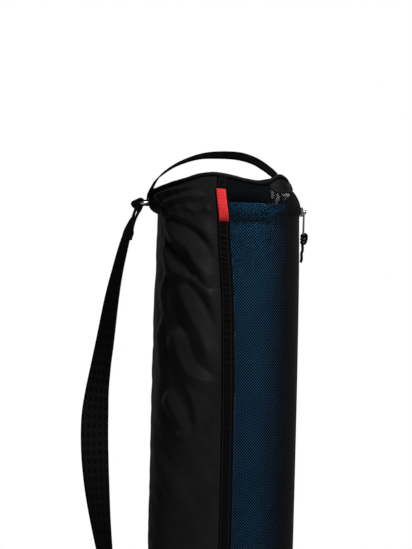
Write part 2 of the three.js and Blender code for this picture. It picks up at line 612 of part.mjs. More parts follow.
// The ring is bent from wire: a long bar in the strap's loop, another in the tab's loop, and two short ends.
const ringLean = ringTilt * degree;
const ringAlong = vector(Math.cos(ringLean), 0, Math.sin(ringLean));
const tabTurn = ringWire / 2 + gap + ringTabWall / 2;
const tabFace = leftFace + handleWall / 2 + gap + ringTabWall / 2;
const tabBar = vector(-tabFace - tabTurn / 2, 0, crownFoot + crownHeight * ringUp);
const ringBar = tabBar.clone().addScaledVector(ringAlong, -ringSpan);
const loopPlay = (strapLoopRadius - strapWall / 2 - ringWire / 2) / 2;
const loopCentre = ringBar.clone().add(vector(0, 0, loopPlay));
function addRing() {
  const half = strapWidth / 2 + gap + ringWire;
  const corner = ringWire * 0.9;
  const up = vector(-Math.sin(ringLean), 0, Math.cos(ringLean));
  const middle = ringBar.clone().add(tabBar).multiplyScalar(0.5);
  const centres = [];
  for (const [x, y, start] of [[1, 1, 0], [-1, 1, 90], [-1, -1, 180], [1, -1, 270]]) {
    for (const turn of [start, start + 45, start + 90]) {
      const along = x * (ringSpan / 2 - corner) + corner * Math.cos(turn * degree);
      const side = y * (half - corner) + corner * Math.sin(turn * degree);
      centres.push({ along, side });
    }
  }
  const rings = centres.map(({ along, side }, i) => {
    const before = centres[(i + centres.length - 1) % centres.length];
    const after = centres[(i + 1) % centres.length];
    const outward = new THREE.Vector2(after.side - before.side, before.along - after.along).normalize();
    return around(8).map((turn) => middle.clone()
      .addScaledVector(ringAlong, along + outward.x * ringWire / 2 * Math.cos(turn * degree))
      .add(vector(0, side + outward.y * ringWire / 2 * Math.cos(turn * degree), 0))
      .addScaledVector(up, ringWire / 2 * Math.sin(turn * degree)));
  });
  add('strap_ring', ringsSolid(rings, true), materials.metal);
}

// The ring's tab: a short piece of webbing looped round the ring and sewn to the left ear
// over the handle's end.
function addRingTab() {
  const round = steps(-60, -300, 8).map((turn) => vector(tabBar.x + tabTurn * Math.cos(turn * degree), 0,
    tabBar.z + tabTurn * Math.sin(turn * degree)));
  const tabPoint = (turns) => vector(-tabFace, 0, tabBar.z + turns * tabTurn);
  const path = [tabPoint(-4), tabPoint(-2), ...round, tabPoint(1.6)];
  const across = path.map(() => vector(0, 1, 0));
  add('ring_tab', bandSolid(path, across, ringTabWidth, ringTabWall), materials.webbing);
}

// The shoulder strap goes round the ring and back on itself, bows out and twists on its way down,
// and is sewn to the bag's left side under its anchor.
const sideFace = profile(180, levelOf(anchorHeight)).x + gap + strapWall / 2;
function addStrap() {
  const foot = vector(-sideFace, 0, anchorHeight);
  const spine = drop.map((row) => vector(-bagRadius * 1.02 - strapBow * row.out, -strapBow * row.sway,
    mix(loopCentre.z, anchorHeight, row.down)));
  spine[0].copy(loopCentre);
  spine[spine.length - 1].copy(foot);
  const curve = new THREE.CatmullRomCurve3([...spine, vector(-sideFace, 0, anchorHeight - anchorLength)]);
  const length = curve.getLength();
  const at = (way) => {
    const point = curve.getPointAt(clamp(way / length, 0, 1));
    const along = curve.getTangentAt(clamp(way / length, 0, 1));
    const down = (loopCentre.z - point.z) / (loopCentre.z - anchorHeight);
    const turn = readTable(drop, 'down', down, 'turn') * degree;
    const side = vector(-Math.sin(turn), Math.cos(turn), 0);
    side.addScaledVector(along, -side.dot(along)).normalize();
    const rejoin = 1 - smooth(way / strapFoldBack - 1);
    const half = readTable(spread, 'along', way / strapFoldBack, 'half') * strapLoopRadius * rejoin;
    return { point, side, off: side.clone().cross(along).normalize(), half };
  };
  const layer = (way, sign) => {
    const { point, side, off, half } = at(way);
    return { point: point.addScaledVector(off, sign * half), side };
  };
  const folded = steps(strapFoldBack, 0, 14).map((way) => layer(way, -1));
  const ways = [...steps(0, strapFoldBack, 14), ...steps(strapFoldBack, length, 50).slice(1)];
  const main = ways.map((way) => layer(way, 1));
  const top = at(0);
  const upward = top.side.clone().cross(top.off).normalize();
  if (upward.z < 0) upward.negate();
  const round = steps(180, 0, 8).slice(1, -1).map((turn) => ({
    point: loopCentre.clone().addScaledVector(top.off, strapLoopRadius * Math.cos(turn * degree))
      .addScaledVector(upward, strapLoopRadius * Math.sin(turn * degree)),
    side: top.side,
  }));
  const route = [...folded, ...round, ...main];
  const path = route.map(({ point }) => point);
  const across = route.map(({ side }) => side);
  add('shoulder_strap', bandSolid(path, across, strapWidth, strapWall), materials.webbing);
}

// The patch sewn over the strap's lower end.
function addAnchor() {
  const low = levelOf(anchorHeight - anchorLength - 6);
  const high = levelOf(anchorHeight - 8);
  const half = arc(anchorWidth / 2);
  const lift = 3 * gap + strapWall + patchWall + chordSag(strapWidth);
  const levels = steps(low, high, 3);
  const patch = panel(() => 180 - half, () => 180 + half, steps(0, 1, 6), levels, patchWall, () => lift);
  add('strap_anchor', patch, materials.cloth);
}

addSidePanel();
addNetAndTapes();
addSeamTapes();
addLabel();
addTopCap();
addRimBinding();
addBase();
addMat();
addSliderAndPull();
addHandle();
addEarPatch();
addRing();
addRingTab();
addStrap();
addAnchor();

export default group;
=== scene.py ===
import json
import math

import bpy
import numpy as np
from mathutils import Matrix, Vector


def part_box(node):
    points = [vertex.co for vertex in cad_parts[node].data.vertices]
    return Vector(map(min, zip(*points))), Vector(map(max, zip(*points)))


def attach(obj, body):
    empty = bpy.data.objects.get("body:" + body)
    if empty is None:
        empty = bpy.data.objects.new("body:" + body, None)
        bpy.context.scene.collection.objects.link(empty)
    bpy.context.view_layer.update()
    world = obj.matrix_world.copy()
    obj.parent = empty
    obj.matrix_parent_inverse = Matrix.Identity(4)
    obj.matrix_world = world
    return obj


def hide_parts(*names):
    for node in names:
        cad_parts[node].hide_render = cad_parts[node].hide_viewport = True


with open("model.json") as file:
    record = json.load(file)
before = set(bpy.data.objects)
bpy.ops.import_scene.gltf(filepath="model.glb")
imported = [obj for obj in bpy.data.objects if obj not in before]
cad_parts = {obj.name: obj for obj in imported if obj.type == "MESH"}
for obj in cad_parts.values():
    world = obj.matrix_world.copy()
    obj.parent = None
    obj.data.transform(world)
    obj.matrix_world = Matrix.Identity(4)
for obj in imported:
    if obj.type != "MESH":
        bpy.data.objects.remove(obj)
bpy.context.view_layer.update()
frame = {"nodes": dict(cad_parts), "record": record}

mm = 0.001
degree = math.pi / 180
rng = np.random.default_rng(7)


# Small tools for grids, tables and meshes

def smooth(x):
    # 0 below 0, 1 above 1, an S curve between
    x = np.clip(x, 0.0, 1.0)
    return x * x * (3 - 2 * x)


def mix(a, b, t):
    return a + (b - a) * t


def cubic(t, a, b, slopeA, slopeB):
    # from a to b while t goes from 0 to 1, with the given slopes at both ends
    return ((2 * t**3 - 3 * t**2 + 1) * a + (t**3 - 2 * t**2 + t) * slopeA
            + (3 * t**2 - 2 * t**3) * b + (t**3 - t**2) * slopeB)


def readTable(rows, place, column, period=0.0):
    # a column's value at each place, on a smooth curve through the table's rows
    table = np.array(rows, float)
    key, value = table[:, 0], table[:, column]
    place = np.asarray(place, float)
    if period:
        place = (place - key[0]) % period + key[0]
        key = np.concatenate([[key[-1] - period], key, key[:2] + period])
        value = np.concatenate([value[-1:], value, value[:2]])
    else:
        place = np.clip(place, key[0], key[-1])
        key = np.concatenate([[key[0]], key, [key[-1]]])
        value = np.concatenate([value[:1], value, value[-1:]])
    count = len(key) - 2
    slope = (value[2:] - value[:-2]) / (key[2:] - key[:-2])
    i = np.clip(np.searchsorted(key[1:-1], place, side="right") - 1, 0, count - 2)
    low, high = key[1:-1][i], key[1:-1][i + 1]
    width = high - low
    return cubic((place - low) / width, value[1:-1][i], value[1:-1][i + 1], width * slope[i],
                 width * slope[i + 1])


def softNoise(x, y, seed):
    # random heights from -1 to 1 on whole numbers of x and y, eased between them
    size = 64
    lattice = np.random.default_rng(seed).uniform(-1, 1, (size, size))
    x, y = np.broadcast_arrays(np.asarray(x, float), np.asarray(y, float))
    i, j = np.floor(x).astype(int), np.floor(y).astype(int)
    u, v = smooth(x - i), smooth(y - j)
    at = lambda p, q: lattice[p % size, q % size]
    return mix(mix(at(i, j), at(i + 1, j), u), mix(at(i, j + 1), at(i + 1, j + 1), u), v)


def gridFaces(rows, columns, closeRows=False, closeColumns=False):
    # the quads of a grid of points stored row by row
    r = np.arange(rows if closeRows else rows - 1)
    c = np.arange(columns if closeColumns else columns - 1)
    r, c = np.meshgrid(r, c, indexing="ij")
    r2, c2 = (r + 1) % rows, (c + 1) % columns
    return np.stack([r * columns + c, r * columns + c2, r2 * columns + c2, r2 * columns + c],
                    axis=-1).reshape(-1, 4)


def clothUv(across, along):
    # a UV map in metres from distances in mm across and along a piece
    return np.stack(np.broadcast_arrays(across * mm, along * mm), axis=-1)


def polar(radius, angle, height):
    # points at an angle in degrees round the upright axis
    return np.stack(np.broadcast_arrays(radius * np.cos(angle * degree), radius * np.sin(angle * degree),
                                        height), axis=-1)


def turned(points, angle):
    # points turned by an angle in degrees about the upright axis
    c, s = math.cos(angle * degree), math.sin(angle * degree)
    x, y, z = points[..., 0], points[..., 1], points[..., 2]
    return np.stack([x * c - y * s, x * s + y * c, z], axis=-1)


def wayAlong(path):
    # the distance walked at each point of a path
    return np.concatenate([[0], np.cumsum(np.linalg.norm(np.diff(path, axis=0), axis=1))])


def readPath(place, way, path):
    # the path's values at distances along it
    return np.stack([np.interp(place, way, path[:, k]) for k in range(3)], axis=-1)


def chainFaces(count, rings, sides, flip=False):
    # the faces of many small closed bodies, each of a few like rings of points
    wall = gridFaces(rings, sides, closeColumns=True)
    ends = np.stack([np.arange(sides)[::-1], np.arange(sides) + (rings - 1) * sides])
    start = (np.arange(count) * rings * sides)[:, None, None]
    turn = -1 if flip else 1
    return [(wall[None, :, ::turn] + start).reshape(-1, 4),
            (ends[None, :, ::turn] + start).reshape(-1, sides)]


def makeMesh(name, points, faces, uv=None):
    # faces is one array of equal-sided faces, or a list of such arrays
    groups = faces if isinstance(faces, list) else [faces]
    groups = [np.asarray(g, np.int32) for g in groups if len(g)]
    loops = np.concatenate([g.ravel() for g in groups])
    sides = np.concatenate([np.full(len(g), g.shape[1]) for g in groups])
    mesh = bpy.data.meshes.new(name)
    mesh.vertices.add(len(points))
    mesh.vertices.foreach_set("co", (np.asarray(points, float) * mm).ravel())
    mesh.loops.add(len(loops))
    mesh.loops.foreach_set("vertex_index", loops)
    mesh.polygons.add(len(sides))
    mesh.polygons.foreach_set("loop_start", np.concatenate([[0], np.cumsum(sides)[:-1]]).astype(np.int32))
    mesh.polygons.foreach_set("use_smooth", np.ones(len(sides), bool))
    if uv is not None:
        layer = mesh.uv_layers.new(name="cloth")
        layer.data.foreach_set("uv", np.asarray(uv, float)[loops].ravel())
    mesh.update(calc_edges=True)
    mesh.validate()
    return mesh


def addPiece(name, mesh, material, replaces=(), body="bag"):
    piece = bpy.data.objects.new(name, mesh)
    bpy.context.scene.collection.objects.link(piece)
    mesh.materials.append(material)
    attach(piece, body)
    if replaces:
        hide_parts(*replaces)
    return piece


def wallMesh(name, outer, inner, uv=None, lining=False):
    # a closed wall between two like grids of points, rows by columns by 3
    rows, columns = outer.shape[:2]
    count = rows * columns
    points = np.concatenate([outer.reshape(-1, 3), inner.reshape(-1, 3)])
    front = gridFaces(rows, columns)
    back = front[:, ::-1] + count
    loop = np.concatenate([np.arange(columns), np.arange(1, rows) * columns + columns - 1,
                           (rows - 1) * columns + np.arange(columns - 2, -1, -1),
                           np.arange(rows - 2, 0, -1) * columns])
    after = np.roll(loop, -1)
    rim = np.stack([loop, loop + count, after + count, after], axis=-1)
    if uv is not None:
        uv = np.concatenate([uv.reshape(-1, 2), uv.reshape(-1, 2)])
    mesh = makeMesh(name, points, np.concatenate([front, back, rim]), uv)
    if lining:
        slots = np.repeat([0, 1, 0], [len(front), len(back), len(rim)])
        mesh.polygons.foreach_set("material_index", slots.astype(np.int32))
    return mesh


def ringsMesh(name, rings, closed=False, uv=None):
    # a closed body through like rings of points; open chains get flat ends
    count, sides = rings.shape[:2]
    faces = [gridFaces(count, sides, closeRows=closed, closeColumns=True)[:, ::-1]]
    points = rings.reshape(-1, 3)
    if not closed:
        ends = np.stack([rings[0].mean(axis=0), rings[-1].mean(axis=0)])
        points = np.concatenate([points, ends])
        side = np.arange(sides)
        after = (side + 1) % sides
        first, last = count * sides, count * sides + 1
        low = (count - 1) * sides
        faces.append(np.stack([side, after, np.full(sides, first)], axis=-1))
        faces.append(np.stack([low + after, low + side, np.full(sides, last)], axis=-1))
        if uv is not None:
            uv = np.concatenate([uv.reshape(-1, 2), uv[0].mean(axis=0)[None], uv[-1].mean(axis=0)[None]])
    elif uv is not None:
        uv = uv.reshape(-1, 2)
    return makeMesh(name, points, faces, uv)


def unit(v):
    return v / np.maximum(np.linalg.norm(v, axis=-1, keepdims=True), 1e-9)


def curvePoints(points, t):
    # a centripetal curve through the points; t counts the points passed
    points = np.asarray(points, float)
    padded = np.concatenate([[2 * points[0] - points[1]], points, [2 * points[-1] - points[-2]]])
    i = np.clip(np.floor(t).astype(int), 0, len(points) - 2)
    u = (t - i)[:, None]
    p0, p1, p2, p3 = padded[i], padded[i + 1], padded[i + 2], padded[i + 3]
    d0, d1, d2 = (np.sqrt(np.linalg.norm(b - a, axis=1))[:, None] for a, b in ((p0, p1), (p1, p2), (p2, p3)))
    m1 = ((p1 - p0) / d0 - (p2 - p0) / (d0 + d1) + (p2 - p1) / d1) * d1
    m2 = ((p2 - p1) / d1 - (p3 - p1) / (d1 + d2) + (p3 - p2) / d2) * d1
    return cubic(u, p1, p2, m1, m2)


def squareTo(along, side):
    # the unit direction nearest to side that is square to the path
    return unit(side - along * np.sum(side * along, axis=1, keepdims=True))


def alongPath(path):
    # unit directions along a path of points
    step = np.empty_like(path)
    step[1:-1] = path[2:] - path[:-2]
    step[0], step[-1] = path[1] - path[0], path[-1] - path[-2]
    return unit(step)


# Camera, floor and light

photo = {"width": 412, "height": 549, "scale": 1.135, "centreX": -23.8, "centreZ": 581.6, "roll": 1.41,
         "distance": 2400.0, "film": 24.0}
studio = {"floorRadius": 1000.0, "floorDrop": 0.3, "floorSides": 96, "floorColour": (0.72, 0.72, 0.72),
          "ambient": 0.05, "backdrop": 1.0}
# lights: place, aim, width and height in m, and power in W
lightRows = {
    "key_light": ((0.85, -1.75, 2.6), (0, 0, 0.5), (0.6, 0.6), 118),
    "side_light": ((-1.5, 2.0, 0.9), (0, 0, 0.55), (0.4, 1.6), 1.0),
    "fill_light": ((2.4, -0.3, 0.9), (0, 0, 0.45), (0.8, 1.4), 2),
    "back_light": ((0.6, 2.2, 1.6), (0, 0, 0.5), (1.6, 1.2), 20)}


def addCamera():
    # the lens shows the photo's height at the scale of the bag's axis
    camera = bpy.data.cameras.new("photo_camera")
    camera.sensor_fit = "VERTICAL"
    camera.sensor_height = photo["film"]
    camera.lens = photo["film"] * photo["distance"] / (photo["height"] * photo["scale"])
    camera.clip_start, camera.clip_end = 0.05, 50
    holder = bpy.data.objects.new("photo_camera", camera)
    bpy.context.scene.collection.objects.link(holder)
    place = Matrix.Translation((photo["centreX"] * mm, -photo["distance"] * mm, photo["centreZ"] * mm))
    upright = place @ Matrix.Rotation(math.pi / 2, 4, "X")
    holder.matrix_world = upright @ Matrix.Rotation(photo["roll"] * degree, 4, "Z")
    bpy.context.scene.camera = holder


def addLight(name, place, aim, size, power):
    light = bpy.data.lights.new(name, "AREA")
    light.shape, light.size, light.size_y, light.energy = "RECTANGLE", size[0], size[1], power
    holder = bpy.data.objects.new(name, light)
    bpy.context.scene.collection.objects.link(holder)
    back = unit(np.array(place, float) - np.array(aim, float))
    right = unit(np.cross([0, 0, 1], back))
    up = np.cross(back, right)
    turn = Matrix([[*row, 0] for row in np.stack([right, up, back], axis=1)] + [[0, 0, 0, 1]])
    holder.matrix_world = Matrix.Translation(place) @ turn


def addStudio():
    # a white backdrop that only the camera sees, a faint even glow, the floor and four lights
    world = bpy.data.worlds.new("studio")
    world.use_nodes = True
    tree = world.node_tree
    tree.nodes.clear()
    out = tree.nodes.new("ShaderNodeOutputWorld")
    blend = tree.nodes.new("ShaderNodeMixShader")
    rays = tree.nodes.new("ShaderNodeLightPath")
    for slot, strength in ((1, studio["ambient"]), (2, studio["backdrop"])):
        glow = tree.nodes.new("ShaderNodeBackground")
        glow.inputs["Color"].default_value = (1, 1, 1, 1)
        glow.inputs["Strength"].default_value = strength
        tree.links.new(glow.outputs[0], blend.inputs[slot])
    tree.links.new(rays.outputs["Is Camera Ray"], blend.inputs[0])
    tree.links.new(blend.outputs[0], out.inputs[0])
    bpy.context.scene.world = world
    bpy.context.scene.view_settings.view_transform = "Standard"

    sides = np.arange(studio["floorSides"])
    edge = polar(studio["floorRadius"], sides * 360 / len(sides), -studio["floorDrop"])
    mesh = makeMesh("studio_floor", edge, sides[None])
    floor = bpy.data.objects.new("studio_floor", mesh)
    bpy.context.scene.collection.objects.link(floor)
    mesh.materials.append(plainMaterial("floor_paper", studio["floorColour"], 0.9))
    for name, row in lightRows.items():
        addLight(name, *row)


# Materials

def plainMaterial(name, colour, roughness, metallic=0.0):
    material = bpy.data.materials.new(name)
    material.use_nodes = True
    shader = material.node_tree.nodes["Principled BSDF"]
    shader.inputs["Base Color"].default_value = (*colour, 1)
    shader.inputs["Roughness"].default_value = roughness
    shader.inputs["Metallic"].default_value = metallic
    return material


class Nodes:
    # short ways to add and join a material's nodes
    def __init__(self, material):
        self.tree = material.node_tree
        self.shader = self.tree.nodes["Principled BSDF"]

    def add(self, kind, inputs=None, **settings):
        node = self.tree.nodes.new("ShaderNode" + kind)
        for key, value in settings.items():
            setattr(node, key, value)
        for key, value in (inputs or {}).items():
            if isinstance(value, bpy.types.NodeSocket):
                self.tree.links.new(value, node.inputs[key])
            else:
                node.inputs[key].default_value = value
        return node

    def link(self, output, key):
        self.tree.links.new(output, self.shader.inputs[key])

    def math(self, operation, a, b=0.0):
        return self.add("Math", {0: a, 1: b}, operation=operation).outputs[0]

    def ramp(self, value, low, high, start=0.0, end=1.0):
        node = self.add("ValToRGB", {"Fac": value})
        node.color_ramp.elements[0].position, node.color_ramp.elements[1].position = start, end
        node.color_ramp.elements[0].color, node.color_ramp.elements[1].color = (*low, 1), (*high, 1)
        return node.outputs[0]

    def place(self, scale=(1, 1, 1), uv=False):
        coords = self.add("TexCoord").outputs["UV" if uv else "Object"]
        return self.add("Mapping", {"Vector": coords, "Scale": scale}).outputs[0]

    def noise(self, vector, scale, detail=2.0, roughness=0.5):
        inputs = {"Vector": vector, "Scale": scale, "Detail": detail, "Roughness": roughness}
        return self.add("TexNoise", inputs).outputs["Fac"]

    def range(self, value, low, high):
        return self.add("MapRange", {"Value": value, "To Min": low, "To Max": high}).outputs[0]

    def bump(self, height, distance, strength=1.0, under=None):
        inputs = {"Height": height, "Distance": distance, "Strength": strength}
        if under is not None:
            inputs["Normal"] = under
        return self.add("Bump", inputs).outputs[0]

    def wave(self, vector, scale, direction):
        return self.add("TexWave", {"Vector": vector, "Scale": scale, "Detail": 0.0},
                        wave_type="BANDS", bands_direction=direction, wave_profile="SIN").outputs["Fac"]


def threads(nodes, vector, across, along):
    # a plain weave: two sets of threads, each over and under the other; the scales count threads to a metre
    warp = nodes.wave(vector, across / 20, "X")
    weft = nodes.wave(vector, along / 20, "Y")
    return nodes.math("MAXIMUM", warp, weft)


coatedLook = {"dark": (0.0075, 0.0066, 0.0068), "light": (0.0105, 0.0095, 0.0096),
              "roughness": (0.34, 0.46), "gloss": 0.06, "threadsPerMetre": 1500, "threadHeight": 0.00006,
              "crinkle": 0.0004}


def coatedCloth():
    material = plainMaterial("coated_cloth", coatedLook["light"], 0.5)
    nodes = Nodes(material)
    spot = nodes.place()
    uv = nodes.place(uv=True)
    broad = nodes.noise(spot, 30, 3)
    nodes.link(nodes.ramp(broad, coatedLook["dark"], coatedLook["light"], 0.3, 0.75), "Base Color")
    nodes.link(nodes.range(nodes.noise(spot, 90, 2), *coatedLook["roughness"]), "Roughness")
    weave = threads(nodes, uv, coatedLook["threadsPerMetre"], coatedLook["threadsPerMetre"])
    fine = nodes.bump(weave, coatedLook["threadHeight"], 0.5)
    stretched = nodes.place(scale=(1, 1, 0.55))
    crinkle = nodes.bump(nodes.noise(stretched, 110, 3, 0.55), coatedLook["crinkle"], 0.6, fine)
    nodes.link(crinkle, "Normal")
    nodes.shader.inputs["Specular IOR Level"].default_value = coatedLook["gloss"]
    return material


def wovenMaterial(name, dark, light, roughness, across, along, height, sheen, specular):
    # tape, webbing or label: ribs of thread that follow the piece's own UV map; the colour is darkened
    # in the dips between the threads as painted shade, and varies with slight random wear
    material = plainMaterial(name, light, roughness)
    nodes = Nodes(material)
    uv = nodes.place(uv=True)
    spot = nodes.place()
    weave = threads(nodes, uv, across, along)
    # the weave darkens the colour in the dips between threads (painted shade); the noise adds random wear
    shade = nodes.math("MULTIPLY", weave, nodes.range(nodes.noise(spot, 220, 3), 0.55, 1.0))
    nodes.link(nodes.ramp(shade, dark, light, 0.2, 0.9), "Base Color")
    nodes.link(nodes.range(nodes.noise(spot, 300, 2), roughness - 0.08, min(roughness + 0.1, 1.0)),
               "Roughness")
    nodes.link(nodes.bump(weave, height, 0.8), "Normal")
    nodes.shader.inputs["Specular IOR Level"].default_value = specular
    nodes.shader.inputs["Sheen Weight"].default_value = sheen
    return material


def metalMaterial(name, colour, roughness):
    material = plainMaterial(name, colour, roughness, 1.0)
    nodes = Nodes(material)
    spot = nodes.place(scale=(1, 1, 0.2))
    nodes.link(nodes.range(nodes.noise(spot, 900, 2), roughness - 0.08, roughness + 0.12), "Roughness")
    nodes.link(nodes.ramp(nodes.noise(spot, 260, 3), tuple(0.82 * part for part in colour), colour, 0.3, 0.7),
               "Base Color")
    return material


def foamMaterial(name, dark, light):
    material = plainMaterial(name, light, 0.85)
    nodes = Nodes(material)
    spot = nodes.place()
    cells = nodes.add("TexVoronoi", {"Vector": spot, "Scale": 900}).outputs["Distance"]
    nodes.link(nodes.ramp(nodes.noise(spot, 25, 3), dark, light, 0.3, 0.7), "Base Color")
    nodes.link(nodes.bump(cells, 0.0003, 0.5), "Normal")
    nodes.link(nodes.range(nodes.noise(spot, 120, 2), 0.75, 0.95), "Roughness")
    nodes.shader.inputs["Specular IOR Level"].default_value = 0.2
    return material


# woven looks: dark colour (the painted shade between threads) and light colour, roughness, threads to a
# metre across and along, thread height in m, sheen, specular
wovenRows = {
    "net_yarn": ((0.0012, 0.0017, 0.0026), (0.003, 0.0038, 0.0052), 0.75, 3000, 3000, 0.00005, 0.03, 0.035),
    "seam_tape": ((0.0009, 0.0009, 0.001), (0.0022, 0.0022, 0.0024), 0.7, 1900, 900, 0.00012, 0.0, 0.035),
    "rim_tape": ((0.003, 0.0028, 0.0028), (0.0058, 0.0054, 0.0055), 0.6, 1900, 900, 0.00012, 0.0, 0.06),
    "strap_webbing": ((0.0022, 0.0018, 0.0018), (0.006, 0.005, 0.0052), 0.7, 900, 620, 0.0003, 0.0, 0.03),
    # the handle's webbing is a far darker copy of the strap's webbing: painted shade on the handle
    "handle_webbing": ((0.0002, 0.0002, 0.0002), (0.0007, 0.0006, 0.0006), 0.75, 900, 620, 0.0003, 0.0, 0.01),
    "label_weave": ((0.5, 0.018, 0.02), (0.68, 0.026, 0.03), 0.7, 2600, 1500, 0.00008, 0.05, 0.15)}
woven = {name: wovenMaterial(name, *row) for name, row in wovenRows.items()}
looks = {
    "coated": coatedCloth(),
    "net": woven["net_yarn"], "tape": woven["seam_tape"], "binding": woven["rim_tape"],
    "webbing": woven["strap_webbing"], "handle": woven["handle_webbing"], "label": woven["label_weave"],
    # inside: the lining's pale colour is painted light, lighter than the cloth's own so the bag's inside looks
    # lit
    "inside": foamMaterial("cloth_inside_painted_light", (0.42, 0.37, 0.33), (0.56, 0.5, 0.45)),
    "thread": plainMaterial("sewing_thread", (0.0018, 0.0017, 0.0018), 0.8),
    "redThread": plainMaterial("label_thread", (0.55, 0.024, 0.028), 0.6),
    "coil": plainMaterial("zip_coil_nylon", (0.004, 0.004, 0.0045), 0.4),
    "metal": metalMaterial("plated_metal", (0.62, 0.62, 0.63), 0.28),
    "foam": foamMaterial("mat_foam", (0.034, 0.215, 0.44), (0.042, 0.25, 0.5)),
}


# The bag's wall: every cloth piece is worked out on this surface

nodeBox = {name: np.array(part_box(name)) / mm for name in frame["nodes"]}
bag = {
    "radius": nodeBox["base_piping"][1][0],
    "foot": nodeBox["side_panel"][0][2],
    "matTop": nodeBox["rolled_mat"][1][2],
    "grip": 13.0,            # the slack end begins this far below the mat's top edge
    "crownHeight": 50.0,
    "crownLength": 48.0,     # along the wall, from the slack end's foot to its rim
    "tuck": 3.6,             # how far the wall goes up into the binding
    "rimBelow": 6.6,         # from the binding's top down to the wall's edge
    "clothWall": 1.2,
    "netWall": 1.0,
    "gap": 0.3,
    "backSeam": 52.0,
    "frontSeam": -89.0,
    "tapeWidth": 11.0,
    "tapeWall": 1.1,
    "gatherPitch": 5.7,
    "gatherSink": 24.0,
    "gatherRise": 1.1,       # of the tape's crests
    "pucker": 0.4,           # of the cloth beside the tape
    "stitchInset": 2.2,
}
crownFoot = bag["matTop"] - bag["grip"]
wallTop = crownFoot + bag["crownLength"] + bag["tuck"]
columnsOfGirth = [(0, 0.99), (0.06, 1.004), (0.3, 1.02), (0.64, 1.028), (0.88, 1.019), (1, 1)]
columnsOfDrift = [(0, 0.105), (0.65, 0.105), (0.85, 0.067), (0.965, -0.002), (1.04, -0.038), (1.07, -0.05)]
# angle, belly and rim as shares of the radius, rim height as a share of crownHeight, height share of the
# belly's bend
columnsOfCrown = [
    (0, 1.068, 0.886, 0.72, 0.5), (30, 1.05, 0.89, 0.95, 0.45), (60, 1.03, 0.9, 0.9, 0.45),
    (90, 1.02, 0.9, 0.84, 0.45), (140, 1.03, 0.93, 0.74, 0.48), (165, 1.12, 1.05, 0.6, 0.42),
    (180, 1.2, 1.11, 0.57, 0.34), (193, 1.13, 1.05, 0.61, 0.42), (210, 1.03, 0.965, 0.715, 0.5),
    (228, 1.03, 0.95, 0.8, 0.45), (243, 1.02, 0.945, 0.9, 0.45), (256, 1.02, 0.935, 0.935, 0.45),
    (270, 1.02, 0.925, 0.89, 0.45), (285, 1.02, 0.915, 0.81, 0.45), (300, 1.02, 0.9, 0.77, 0.45),
    (309, 1, 0.86, 0.81, 0.45), (318, 1.01, 0.885, 0.93, 0.45), (324, 1.02, 0.9, 0.94, 0.48),
    (332, 1.02, 0.91, 0.865, 0.5), (345, 1.05, 0.903, 0.7, 0.52)]


def rimRadius(angle):
    return bag["radius"] * readTable(columnsOfCrown, angle, 2, 360)


def rimHeight(angle):
    return crownFoot + bag["crownHeight"] * readTable(columnsOfCrown, angle, 3, 360) - bag["rimBelow"]


def profile(angle, level):
    # radius and height: level 0 to 1 climbs the body, 1 to 2 is a curve that bellies out and leans in to the
    # rim
    angle, level = np.broadcast_arrays(np.asarray(angle, float), np.asarray(level, float))
    height = bag["foot"] + (crownFoot - bag["foot"]) * level
    radius = bag["radius"] * readTable(columnsOfGirth, height / crownFoot, 1)
    t = np.clip(level - 1, 0, 1.1)
    belly = bag["radius"] * readTable(columnsOfCrown, angle, 1, 360)
    rim = rimHeight(angle)
    bend = lambda a, b, c: (1 - t) ** 2 * a + 2 * t * (1 - t) * b + t**2 * c
    above = level > 1
    return (np.where(above, bend(bag["radius"], belly, rimRadius(angle)), radius),
            np.where(above, bend(crownFoot, mix(crownFoot, rim, readTable(columnsOfCrown, angle, 4, 360)),
                                 rim), height))


def wallPoints(angle, level, lift):
    # points on the wall's outer face, lifted along the face's normal
    angle, level, lift = np.broadcast_arrays(np.asarray(angle, float), np.asarray(level, float),
                                             np.asarray(lift, float))
    radius, height = profile(angle, level)
    highR, highZ = profile(angle, level + 0.01)
    lowR, lowZ = profile(angle, np.maximum(level - 0.01, 0))
    slopeR, slopeZ = highR - lowR, highZ - lowZ
    length = np.hypot(slopeR, slopeZ)
    return polar(radius + lift * slopeZ / length, angle, height - lift * slopeR / length)


def levelOf(way):
    # the level at a distance along the wall, counted in mm from the base's plane
    body = (way - bag["foot"]) / (crownFoot - bag["foot"])
    return np.where(way <= crownFoot, body, 1 + (way - crownFoot) / bag["crownLength"])


def arc(length):
    return length / bag["radius"] / degree


def seamAngle(level):
    # the front seam's right edge, which drifts to the right on its way down
    share = profile(bag["frontSeam"], level)[1] / crownFoot
    return bag["frontSeam"] - 1 + np.arcsin(readTable(columnsOfDrift, share, 1)) / degree


